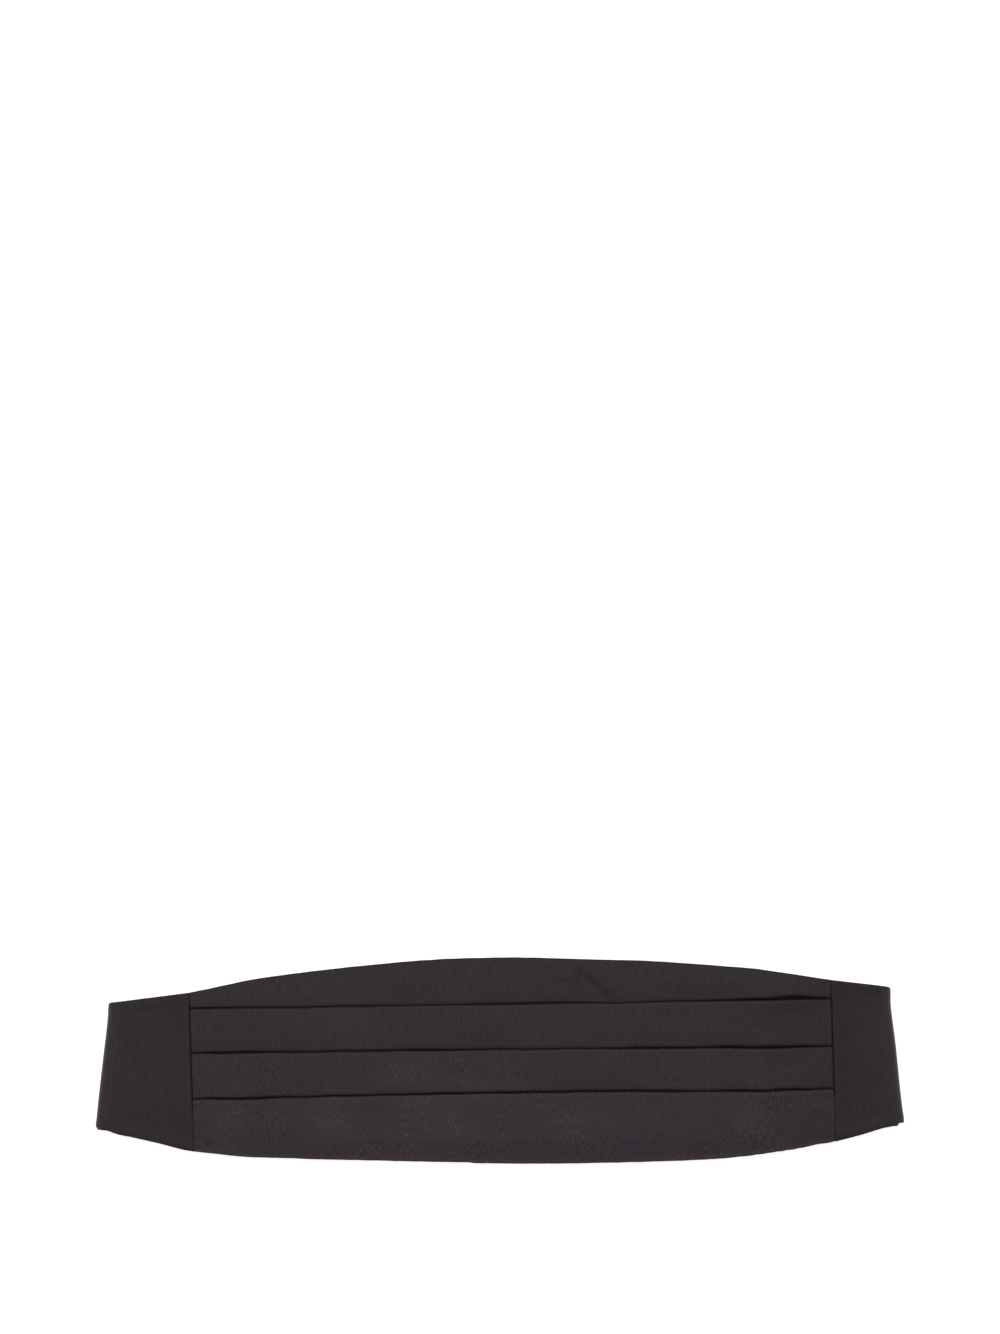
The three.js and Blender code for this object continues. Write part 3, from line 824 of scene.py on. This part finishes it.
def wing_piece(side):
    wing = WINGS[side]
    outside, pocket = wing_stations(wing), pocket_lines(wing)
    columns = np.array(outside + pocket, float).T[..., None]
    top_along, bottom_along, top, bottom, outer, inner = columns
    plain = (np.arange(len(top)) < len(outside))[:, None]
    wall = outer - inner
    height = top - bottom
    across, full = wing_across(wall, height)
    full = np.where(plain, full, 1)
    share = across / height
    along = mix(bottom_along, top_along, share)
    from_edge = np.minimum(across, height - across)
    across = across + bottom
    hang = smooth_column(wing["hem"], "drop", np.clip(along / along[:1], 0, 1))
    showing = smoothstep(along, QUARTER_RUN, 0)
    across = across - hang * smoothstep(share, HANG_START, 0) * showing
    calm = smoothstep(wall, TIP_WALL, WING_WALL * CALM_WALL) if wall.max() > TIP_WALL else 1
    swell = (ripple(f"{side}_swell", along, across) + ripple(f"{side}_pucker", along, across)) * calm
    swell = swell * smoothstep(from_edge, 0, WING_SWELL_RUN) * showing
    hem = WING_HEM * (1 - smoothstep(from_edge, *WING_HEM_END)) * plain * showing
    centre = (outer + inner) / 2 + swell
    inside = np.where(along < 0, along - along[:1], PANEL_LENGTH)
    drop = seam_drop(inside, across)
    flare = wing_flare(wing, along, share, height)

    def face(out):
        points = folded_points(wing, along, across, out - drop)
        points[..., 0] += wing["sign"] * (flare - seam_lean(points[..., 2], inside))
        return points

    over = face(centre + wall / 2 * full + hem)
    under = face(centre - wall / 2 * full - hem / 2)
    cloth = np.stack([along * wing["sign"], across], -1)
    piece = slab(f"wing_{side}_satin", over, under, cloth)
    # Painted shade near the wing's edges.
    mark(piece, "fold", np.exp(-from_edge / WING_EDGE_SHADE_REACH) * plain)
    mark(piece, "gap", 0 * from_edge)
    # Painted sheen: the patches, and more where the wing turns under.
    sheen = np.exp(-(((along / QUARTER_RUN - TURN_SHEEN_AT) / TURN_SHEEN_REACH) ** 2))
    mark(piece, "tone", painted_sheen_at(over[..., 0], over[..., 1]) + TURN_PAINTED_SHEEN * sheen)
    runs = along.mean(1)[: len(outside)]
    area = np.trapz(height[: len(outside), 0], runs)
    return piece, ((runs.max() - runs.min()) * MM, height.max() * MM), area * MM * MM


# The straps and the clasp
STRAP_SLOPE = 4  # how far a strap runs for each millimetre that it rises
SLOPE_STEPS = 9
LOOP_STEPS = 17
RETURN_STEPS = 12
DOUBLED_STEPS = 8
LYING_STEPS = 50
POCKET_STEPS = 6
RIB_STEPS = 40
RIB_HEIGHT = 0.05
RIBS = 10
RIB_MARGIN = 0.6
STRAP_EDGE_STEPS = 4
CLASP_BEVEL = 0.3
CLASP_BEVEL_STEPS = 3
CLASP_SLOT_CORNER = 0.8
CORNER_STEPS = 8


def wing_tip(wing):
    """The middle of a wing's tip, and how steeply it runs up the front."""
    _, outward, _ = fold_axes(wing)
    across = np.array(PANEL_HEIGHT * wing["tip"])
    x, y, _ = folded_points(wing, np.array(WING_BACK + QUARTER_RUN), across, np.array(0.0))
    return x, y, outward[1] / outward[0]


CLASP_X = (wing_tip(WINGS["left"])[0] + wing_tip(WINGS["right"])[0]) / 2
CLASP_Y = -CLASP_DROP


def strap_course(wing):
    """How far a strap runs, and a function for where its points lie at distances from the clasp."""
    tip_x, tip_y, tip_slope = wing_tip(wing)
    span = abs(tip_x - CLASP_X)
    slope = tip_slope * np.sign(tip_x - CLASP_X)
    rise = tip_y - CLASP_Y
    a, b = slope * span - 2 * rise, 3 * rise - slope * span

    def place(distance, across):
        t = np.clip(distance / span, 0, 1)
        y = CLASP_Y + a * t**3 + b * t**2 + slope * np.maximum(distance - span, 0)
        angle = np.arctan((3 * a * t**2 + 2 * b * t) / span)
        x = CLASP_X + wing["sign"] * (distance - np.sin(angle) * across)
        return x, y + np.cos(angle) * across

    return span, place


def strap_line(span):
    """A strap's middle line from the side, as (distance from the clasp, height), from its doubled end."""
    bar = CLASP_PLATE / 2 + CLASP_SLOT
    low = STRAP_WALL / 2
    doubled = low + STRAP_WALL + SEAT
    high = low + 2 * LOOP_RADIUS
    over_bar = bar + CLASP_BAR + SEAT
    end = bar + STRAP_RETURN
    slope_run = STRAP_SLOPE * (high - doubled)
    lying = (end + SEAT + slope_run, span - POCKET_DEPTH - slope_run)

    def slope(start, finish, z1, z2):
        share = np.linspace(0, 1, SLOPE_STEPS)
        return list(zip(mix(start, finish, share), mix(z1, z2, smoothstep(share, 0, 1))))

    turn = np.linspace(-math.pi / 2, -1.5 * math.pi, LOOP_STEPS)
    loop = [(bar + LOOP_RADIUS * math.cos(t), CLASP_Z + LOOP_RADIUS * math.sin(t)) for t in turn]
    points = [(d, low) for d in np.linspace(end, bar, RETURN_STEPS, endpoint=False)] + loop
    points += slope(over_bar, over_bar + slope_run, high, doubled)
    points += [(d, doubled) for d in np.linspace(over_bar + slope_run, end + SEAT, DOUBLED_STEPS)[1:-1]]
    points += slope(end + SEAT, lying[0], doubled, low)
    points += [(d, low) for d in np.linspace(*lying, LYING_STEPS)[1:-1]]
    points += slope(lying[1], span - SEAT, low, POCKET_Z)
    points += [(d, POCKET_Z) for d in np.linspace(span, span + POCKET_DEPTH - SEAT, POCKET_STEPS)]
    return np.array(points)


def strap_piece(side):
    span, place = strap_course(WINGS[side])
    line = strap_line(span)
    tangent = np.gradient(line, axis=0)
    tangent /= np.hypot(tangent[:, 0], tangent[:, 1])[:, None]
    normal = np.stack([-tangent[:, 1], tangent[:, 0]], 1)
    steps = np.hypot(*np.diff(line, axis=0).T)
    lengths = np.concatenate([[0], np.cumsum(steps)])
    insets, shares = edge_rows(STRAP_EDGE_STEPS, STRAP_WALL / 2)
    middle = np.linspace(RIB_MARGIN, STRAP_WIDTH - RIB_MARGIN, RIB_STEPS)
    across = np.concatenate([insets, middle, STRAP_WIDTH - insets[::-1]]) - STRAP_WIDTH / 2
    ribs = RIB_HEIGHT * np.cos(2 * math.pi * RIBS * middle / STRAP_WIDTH)
    rim = shares * STRAP_WALL / 2
    half = np.concatenate([rim, STRAP_WALL / 2 - RIB_HEIGHT + ribs, rim[::-1]])

    def face(sign):
        distance = line[:, :1] + sign * normal[:, :1] * half
        height = line[:, 1:] + sign * normal[:, 1:] * half
        return np.stack([*place(distance, across), height], -1)

    cloth = np.stack(np.broadcast_arrays(lengths[:, None], across[None, :]), -1)
    piece = slab(f"strap_{side}_elastic", face(1), face(-1), cloth)
    return piece, (STRAP_WIDTH * MM, lengths[-1] * MM), STRAP_WIDTH * lengths[-1] * MM * MM


def rounded_loop(width, height, radius):
    """A closed outline with round corners, anticlockwise."""
    points = []
    for corner, (side_x, side_y) in enumerate(((1, 1), (-1, 1), (-1, -1), (1, -1))):
        for turn in np.linspace(0, math.pi / 2, CORNER_STEPS):
            angle = turn + corner * math.pi / 2
            x = side_x * (width / 2 - radius) + radius * math.cos(angle)
            y = side_y * (height / 2 - radius) + radius * math.sin(angle)
            points.append((x, y))
    return points


def clasp_piece():
    """One plate with a slot at each end, its edges rounded by a small bevel."""
    slot_height = STRAP_WIDTH + 2 * STRAP_PLAY
    width = CLASP_PLATE + 2 * (CLASP_SLOT + CLASP_BAR)
    curve = bpy.data.curves.new("clasp_outline", "CURVE")
    curve.dimensions = "2D"
    curve.fill_mode = "BOTH"
    curve.extrude = (CLASP_WALL / 2 - CLASP_BEVEL) * MM
    curve.bevel_depth = CLASP_BEVEL * MM
    curve.bevel_resolution = CLASP_BEVEL_STEPS
    curve.offset = -CLASP_BEVEL * MM
    loops = [(0, rounded_loop(width, slot_height + 2 * CLASP_RIM, CLASP_CORNER))]
    for side in (-1, 1):
        slot = rounded_loop(CLASP_SLOT, slot_height, CLASP_SLOT_CORNER)
        loops.append((side * (CLASP_PLATE + CLASP_SLOT) / 2, slot))
    for middle, loop in loops:
        spline = curve.splines.new("POLY")
        spline.points.add(len(loop) - 1)
        for point, (x, y) in zip(spline.points, loop):
            point.co = ((x + middle) * MM, y * MM, 0, 1)
        spline.use_cyclic_u = True
    outline = placed("clasp_outline", curve)
    shaped = outline.evaluated_get(bpy.context.evaluated_depsgraph_get())
    mesh = bpy.data.meshes.new_from_object(shaped)
    bpy.data.objects.remove(outline)
    bpy.data.curves.remove(curve)
    place = Vector(((CLASP_X + SHIFT[0]) * MM, (CLASP_Y + SHIFT[1]) * MM, CLASP_Z * MM))
    for vertex in mesh.vertices:
        vertex.co += place
    mesh.name = "clasp_plate"
    return placed("clasp_plate", mesh)


# Materials
class Nodes:
    """A material's node tree, built one node at a time."""

    def __init__(self, name):
        self.material = bpy.data.materials.new(name)
        self.material.use_nodes = True
        self.tree = self.material.node_tree
        self.shader = self.tree.nodes["Principled BSDF"]

    def put(self, socket, value):
        if isinstance(value, bpy.types.NodeSocket):
            self.tree.links.new(value, socket)
        else:
            socket.default_value = value

    def add(self, kind, output=0, inputs=(), **settings):
        node = self.tree.nodes.new(kind)
        for key, value in settings.items():
            setattr(node, key, value)
        for key, value in dict(inputs).items():
            self.put(node.inputs[key], value)
        return node.outputs[output]

    def finish(self, **inputs):
        for key, value in inputs.items():
            self.put(self.shader.inputs[key.replace("_", " ")], value)
        return self.material

    def math(self, operation, a, b):
        return self.add("ShaderNodeMath", inputs={0: a, 1: b}, operation=operation)

    def between(self, value, low, high, to_low=0.0, to_high=1.0):
        """A value's range from low to high, turned softly into another range."""
        inputs = {"Value": value, "From Min": low, "From Max": high, "To Min": to_low, "To Max": to_high}
        return self.add("ShaderNodeMapRange", inputs=inputs, interpolation_type="SMOOTHSTEP")

    def blend(self, share, a, b):
        """A blend from a to b, each a socket or a red, a green and a blue."""
        a, b = (part if isinstance(part, bpy.types.NodeSocket) else (*part, 1) for part in (a, b))
        inputs = {0: share, 6: a, 7: b}
        return self.add("ShaderNodeMix", output=2, inputs=inputs, data_type="RGBA")

    def mark(self, name):
        return self.add("ShaderNodeAttribute", output=2, attribute_name=name)

    def cloth(self, across, along):
        """The place on the flat cloth, scaled to cycles per metre both ways."""
        place = self.add("ShaderNodeUVMap", uv_map="cloth")
        return self.add("ShaderNodeMapping", inputs={"Vector": place, "Scale": (across, along, 1)})

    def noise(self, vector, detail):
        inputs = {"Vector": vector, "Scale": 1.0, "Detail": detail}
        return self.add("ShaderNodeTexNoise", inputs=inputs)

    def space_noise(self, scale, detail):
        """Noise in the piece's own space, with its cycles per metre along each axis."""
        place = self.add("ShaderNodeTexCoord", output=3)
        place = self.add("ShaderNodeMapping", inputs={"Vector": place, "Scale": scale})
        return self.noise(place, detail)

    def bumps(self, height, distance, strength):
        inputs = {"Height": height, "Distance": distance, "Strength": strength}
        return self.add("ShaderNodeBump", inputs=inputs)

    def scaled(self, vector, factor):
        return self.add("ShaderNodeVectorMath", inputs={0: vector, "Scale": factor}, operation="SCALE")

    def wave(self, direction, distortion, per_metre):
        """Cords that cross the cloth (X) or run along it (Y)."""
        place = self.cloth(float(direction == "X"), float(direction == "Y"))
        inputs = {"Vector": place, "Scale": per_metre, "Distortion": distortion}
        return self.add("ShaderNodeTexWave", output=1, inputs=inputs, bands_direction=direction)


# The satin's layers of noise: cycles to a metre across and along the cloth, and how much detail each has
WEAVE = {
    "ribs": (1000, 120, 3),
    "threads": (2600, 260, 2),
    "ticks": (1700, 340, 1),
    "dots": (2000, 2000, 1),
    "clusters": (38, 30, 2),
    "drift": (9, 22, 3),
    "haze": (26, 60, 3),
}
SHEEN_COLOUR = (0.0132, 0.0106, 0.0126)  # what one step of painted sheen adds to the satin
COOL = (0.93, 1.02, 1.0)  # the satin's tints, as shares of its base colour
WARM = (1.04, 1.02, 0.95)
FOLD_COOL = 0.6  # how much of the cool tint a folded edge is painted with, as part of its painted shade
CALM = 0.9  # how lively the flecks are on a plain band, and what a band that glows adds
LIVELY = 5.2
TONE_GAIN = 1.7  # steps of painted sheen over the whole range of tone
GLOW_GAIN = 0.25
FOLD_PAINTED_SHADE = 0.25
RIB_GLOSS = 0.05  # how much the ribs change the roughness
RIB_SHARE = 0.6  # share of the ribs in the weave's relief: the rest is threads
SATIN_SPECULAR = 0.145
SATIN_SHEEN = 0.02

# Ranges of the satin's noise or marks, and what some are turned into
LIGHT_TICKS = (0.55, 0.65, 0, 2.6)  # strength of the light and dark flecks along the grain, and of the dots
DARK_TICKS = (0.45, 0.35, 0, -1.4)
DOTS = (0.38, 0.62, -0.7, 0.8)
CLUSTERS = (0.42, 0.62, 0.25, 1.1)  # how lively the flecks are outside their clusters and in them
DRIFT = (0.35, 0.65)  # from the satin's own colour to the cool tint
HAZE = (0.5, 0.75, 0, 0.5)  # share of the warm tint
RIB_TONE = (0.25, 0.75)
RIB_ROUGH = (0.3, 0.7)
GAP_SHADE = (0.2, 0.9, 1, 0.25)  # share of the light, out of a gap and deep in it
GAP_ROUGH = (0.2, 0.8)

# The other materials: their two colours, the range of noise that makes their roughness, and that roughness
ELASTIC_COLOURS = ((0.008, 0.0075, 0.008), (0.024, 0.022, 0.024))
ELASTIC_CORDS = (0.0, 400.0)  # their unevenness, and cycles to a metre
ELASTIC_WEFT = (0.6, 320.0)
ELASTIC_FUZZ = (700, 700)
FUZZ_DETAIL = 3
ELASTIC_MIX = {"cords": 0.6, "weft": 0.4, "fuzz": 0.25}  # shares of its relief
ELASTIC_ROUGH = (0.3, 0.7, 0.66, 0.82)
ELASTIC_SHEEN = 0.06
METAL_COLOURS = ((0.46, 0.46, 0.47), (0.62, 0.62, 0.625))
METAL_ROUGH = (0.3, 0.7, 0.26, 0.4)
SCUFF_COLOUR = (0.4, 0.39, 0.38)
SCUFFS = (0.6, 0.8)
GROUND_COLOURS = ((0.93, 0.93, 0.93), (0.95, 0.95, 0.95))
GROUND_ROUGH = 0.9
GROUND_SPECULAR = 0.1
GROUND_GLOW = 0.5  # keeps the ground white round the cloth, as in the photograph
THREAD_COLOURS = ((0.012, 0.011, 0.012), (0.03, 0.028, 0.03))
THREAD_ROUGH = 0.55

# Noise in space: cycles to a metre along each axis, and how much detail it has
BRUSHING = ((180, 6500, 900), 4)
SCUFFING = ((420, 420, 420), 4)
GROUND_TOOTH = ((400, 400, 400), 3)
TWIST = ((5200, 5200, 5200), 2)

# Reliefs: their depth in metres, and how strongly they show
SATIN_RELIEF = (0.00006, 0.6)
ELASTIC_RELIEF = (0.00015, 0.8)
METAL_RELIEF = (0.00002, 0.5)
GROUND_RELIEF = (0.00005, 0.3)
THREAD_RELIEF = (0.00004, 0.6)


def satin(name, base, gloss, grain):
    """Black satin with an upright grain, flecks along it, a slow drift of its tone, and painted sheen and
    shade from its marks.
    """
    cool, warm = ([part * share for part, share in zip(base, tint)] for tint in (COOL, WARM))
    nodes = Nodes(name)
    weave = {key: nodes.noise(nodes.cloth(*cycles), detail) for key, (*cycles, detail) in WEAVE.items()}
    fold, gap, sheen_patch, glow = (nodes.mark(key) for key in ("fold", "gap", "tone", "glow"))

    marks = nodes.between(weave["ticks"], *LIGHT_TICKS)
    marks = nodes.math("ADD", marks, nodes.between(weave["ticks"], *DARK_TICKS))
    marks = nodes.math("ADD", marks, nodes.between(weave["dots"], *DOTS))
    lively = nodes.math("ADD", nodes.math("MULTIPLY", glow, LIVELY), CALM)
    flecks = nodes.math("MULTIPLY", marks, lively)
    flecks = nodes.math("MULTIPLY", flecks, nodes.between(weave["clusters"], *CLUSTERS))

    tone = nodes.blend(nodes.between(weave["drift"], *DRIFT), base, cool)
    tone = nodes.blend(nodes.between(weave["haze"], *HAZE), tone, warm)
    # Near folded edges the satin is painted cooler, and further on it loses sheen: painted shade on their
    # rims.
    tone = nodes.blend(nodes.math("MULTIPLY", fold, FOLD_COOL), tone, cool)
    woven = nodes.scaled(tone, nodes.between(weave["ribs"], *RIB_TONE, 1 - grain, 1 + grain))

    # The sheen added here is painted sheen and shade from the marks and each band's glow, with the weave's
    # flecks.
    sheen = nodes.math("SUBTRACT", nodes.math("MULTIPLY", sheen_patch, TONE_GAIN), TONE_GAIN * PLAIN_TONE)
    sheen = nodes.math("ADD", sheen, nodes.math("MULTIPLY", glow, GLOW_GAIN))
    sheen = nodes.math("ADD", sheen, nodes.math("MULTIPLY", flecks, grain))
    sheen = nodes.math("SUBTRACT", sheen, nodes.math("MULTIPLY", fold, FOLD_PAINTED_SHADE))
    shine = nodes.scaled(SHEEN_COLOUR, sheen)
    lit = nodes.add("ShaderNodeVectorMath", inputs={0: woven, 1: shine}, operation="ADD")
    # Painted shade deep in the pleats' gaps.
    lit = nodes.scaled(lit, nodes.between(gap, *GAP_SHADE))

    rough = nodes.between(weave["ribs"], *RIB_ROUGH, gloss + RIB_GLOSS, gloss - RIB_GLOSS)
    rough = nodes.math("MAXIMUM", rough, nodes.between(gap, *GAP_ROUGH))
    threads = nodes.math("MULTIPLY", weave["threads"], 1 - RIB_SHARE)
    height = nodes.math("ADD", nodes.math("MULTIPLY", weave["ribs"], RIB_SHARE), threads)
    return nodes.finish(
        Base_Color=lit,
        Roughness=rough,
        Normal=nodes.bumps(height, *SATIN_RELIEF),
        Specular_IOR_Level=SATIN_SPECULAR,
        Sheen_Weight=SATIN_SHEEN,
    )


def elastic(name):
    """Ribbed elastic: fine cords along it, crossed by a tight weft."""
    nodes = Nodes(name)
    cords = nodes.math("MULTIPLY", nodes.wave("Y", *ELASTIC_CORDS), ELASTIC_MIX["cords"])
    weft = nodes.math("MULTIPLY", nodes.wave("X", *ELASTIC_WEFT), ELASTIC_MIX["weft"])
    fuzz = nodes.noise(nodes.cloth(*ELASTIC_FUZZ), FUZZ_DETAIL)
    height = nodes.math("ADD", cords, weft)
    height = nodes.math("ADD", height, nodes.math("MULTIPLY", fuzz, ELASTIC_MIX["fuzz"]))
    tone = nodes.blend(height, *ELASTIC_COLOURS)
    rough = nodes.between(fuzz, *ELASTIC_ROUGH)
    relief = nodes.bumps(height, *ELASTIC_RELIEF)
    return nodes.finish(Base_Color=tone, Roughness=rough, Normal=relief, Sheen_Weight=ELASTIC_SHEEN)


def brushed_metal(name):
    """Nickel plate brushed along its length, with a few scuffs."""
    nodes = Nodes(name)
    brush = nodes.space_noise(*BRUSHING)
    tone = nodes.blend(brush, *METAL_COLOURS)
    tone = nodes.blend(nodes.between(nodes.space_noise(*SCUFFING), *SCUFFS), tone, SCUFF_COLOUR)
    rough = nodes.between(brush, *METAL_ROUGH)
    relief = nodes.bumps(brush, *METAL_RELIEF)
    return nodes.finish(Base_Color=tone, Roughness=rough, Normal=relief, Metallic=1.0)


def ground(name):
    """A matt white board with a faint tooth."""
    nodes = Nodes(name)
    grain = nodes.space_noise(*GROUND_TOOTH)
    return nodes.finish(
        Base_Color=nodes.blend(grain, *GROUND_COLOURS),
        Roughness=GROUND_ROUGH,
        Normal=nodes.bumps(grain, *GROUND_RELIEF),
        Specular_IOR_Level=GROUND_SPECULAR,
        Emission_Color=(1, 1, 1, 1),
        Emission_Strength=GROUND_GLOW,
    )


# Thread
STITCH_SIDES = 6
STITCH_RADIUS = 0.17
STITCH_LENGTH = 1.9
STITCH_PITCH = 2.5
# A stitch's rings: where along it, their share of its radius, and how high over the cloth they lie
STITCH_RINGS = [(0, 0.3, -0.12), (0.15, 0.9, 0), (0.5, 1, 0.05), (0.85, 0.9, 0), (1, 0.3, -0.12)]
DOUBLED_ROWS = (3, 6)  # stitched rows, in from the end of a strap's return
ROW_MARGIN = (1.5, 2)  # where they start and end, in from the strap's edges
POCKET_ROWS = (2.5, 2)  # the rows across a pocket, in from its two ends
POCKET_MARGIN = (3, 3.6)  # where the rows along it start and end, and how far in from its sides they run
POCKET_SIDE = 1.2


def stitches(name, runs):
    """Short rounded stitches that lie on cloth, each from a start to an end point."""
    points, faces = [], []
    for start, end in runs:
        start, end = np.array(start, float), np.array(end, float)
        along = end - start
        side = np.cross((0, 0, 1), along)
        side /= np.linalg.norm(side)
        first = len(points)
        for share, size, lift in STITCH_RINGS:
            centre = start + along * share + (0, 0, lift)
            for k in range(STITCH_SIDES):
                angle = 2 * math.pi * k / STITCH_SIDES
                spoke = math.cos(angle) * side + (0, 0, math.sin(angle))
                points.append(centre + STITCH_RADIUS * size * spoke)
        for ring in range(len(STITCH_RINGS) - 1):
            for k in range(STITCH_SIDES):
                a = first + ring * STITCH_SIDES + k
                b = first + ring * STITCH_SIDES + (k + 1) % STITCH_SIDES
                faces.append((a, b, b + STITCH_SIDES, a + STITCH_SIDES))
        faces.append(tuple(first + k for k in reversed(range(STITCH_SIDES))))
        faces.append(tuple(len(points) - STITCH_SIDES + k for k in range(STITCH_SIDES)))
    return smooth_piece(name, points, faces)


def thread_material(name):
    """Twisted black thread."""
    nodes = Nodes(name)
    twist = nodes.space_noise(*TWIST)
    tone = nodes.blend(twist, *THREAD_COLOURS)
    return nodes.finish(Base_Color=tone, Roughness=THREAD_ROUGH, Normal=nodes.bumps(twist, *THREAD_RELIEF))


def strap_stitches(side):
    """Two rows across each doubled strap, and a box of stitches round each pocket."""
    span, place = strap_course(WINGS[side])
    half = STRAP_WIDTH / 2
    doubled_top = 2 * STRAP_WALL + SEAT
    return_end = CLASP_PLATE / 2 + CLASP_SLOT + STRAP_RETURN
    rows = [(return_end - inset, doubled_top) for inset in DOUBLED_ROWS]
    rows += [(span + POCKET_ROWS[0], TIP_WALL), (span + POCKET_DEPTH - POCKET_ROWS[1], TIP_WALL)]
    runs = []

    def point(distance, across, height):
        return (*place(distance, across), height)

    for distance, height in rows:
        for start in np.arange(-half + ROW_MARGIN[0], half - ROW_MARGIN[1], STITCH_PITCH):
            end = point(distance, start + STITCH_LENGTH, height)
            runs.append((point(distance, start, height), end))
    for across in (-half + POCKET_SIDE, half - POCKET_SIDE):
        for start in np.arange(POCKET_MARGIN[0], POCKET_DEPTH - POCKET_MARGIN[1], STITCH_PITCH):
            end = point(span + start + STITCH_LENGTH, across, TIP_WALL)
            runs.append((point(span + start, across, TIP_WALL), end))
    return stitches(f"stitches_{side}", runs)


# The camera, the ground and the lights, in metres
CAMERA_DISTANCE = 5.0
CAMERA_SENSOR = 36
CAMERA_REACH = 20
PHOTO_PLANE = 0.012  # the height at which the photograph's scale holds
GROUND_REACH = 6.0
GROUND_LEVEL = -0.0002
SKY_STRENGTH = 0.6
LIGHT_PLACE = (-0.12, 0.6, 2.2)
LIGHT_AIM = (0, 0.05, 0)
LIGHT_SIZE = 2.0
LIGHT_WATTS = 34


def camera():
    """Straight above the photograph's middle, with its frame and its turn."""
    x, y = photo_point((PHOTO_SIZE[0] / 2, PHOTO_SIZE[1] / 2))
    data = bpy.data.cameras.new("camera")
    data.sensor_width = CAMERA_SENSOR
    data.lens = CAMERA_SENSOR * CAMERA_DISTANCE / (PHOTO_SIZE[1] * PIXEL * MM)
    data.clip_end = CAMERA_REACH
    viewer = placed("camera", data)
    viewer.location = ((x + SHIFT[0]) * MM, (y + SHIFT[1]) * MM, PHOTO_PLANE + CAMERA_DISTANCE)
    viewer.rotation_euler = (0, 0, -PHOTO_TURN)
    bpy.context.scene.camera = viewer


def floor():
    """The white ground."""
    mesh = bpy.data.meshes.new("ground")
    signs = ((-1, -1), (1, -1), (1, 1), (-1, 1))
    corners = [(GROUND_REACH * x, GROUND_REACH * y, GROUND_LEVEL) for x, y in signs]
    mesh.from_pydata(corners, [], [(0, 1, 2, 3)])
    mesh.materials.append(ground("ground_board"))
    placed("ground", mesh)


def lights():
    """An even white sky and one large soft light overhead."""
    world = bpy.data.worlds.new("studio")
    world.use_nodes = True
    background = world.node_tree.nodes["Background"]
    background.inputs["Color"].default_value = (1, 1, 1, 1)
    background.inputs["Strength"].default_value = SKY_STRENGTH
    bpy.context.scene.world = world
    data = bpy.data.lights.new("overhead", "AREA")
    data.size = LIGHT_SIZE
    data.energy = LIGHT_WATTS
    light = placed("overhead", data)
    light.location = LIGHT_PLACE
    light.rotation_euler = (Vector(LIGHT_AIM) - Vector(LIGHT_PLACE)).to_track_quat("-Z", "Y").to_euler()
    bpy.context.scene.view_settings.view_transform = "Standard"


camera()
floor()
lights()

pleat_satin = satin("pleated_satin_weave", base=(0.0141, 0.0079, 0.0124), gloss=0.46, grain=0.07)
wing_satin = satin("wing_satin_weave", base=(0.014, 0.0079, 0.0122), gloss=0.52, grain=0.06)
strap_weave = elastic("strap_elastic_weave")
nickel = brushed_metal("clasp_nickel")
thread = thread_material("black_thread")

front, flat, area = pleated_front()
front.data.materials.append(pleat_satin)
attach(front, "root")
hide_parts("pleated_front")

for side in WINGS:
    wing, flat, area = wing_piece(side)
    wing.data.materials.append(wing_satin)
    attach(wing, "root")
    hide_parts(f"wing_{side}")

    strap, flat, area = strap_piece(side)
    strap.data.materials.append(strap_weave)
    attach(strap, "root")
    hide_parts(f"strap_{side}")

    sewing = strap_stitches(side)
    sewing.data.materials.append(thread)
    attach(sewing, "root")

plate = clasp_piece()
plate.data.materials.append(nickel)
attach(plate, "root")
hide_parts("clasp")
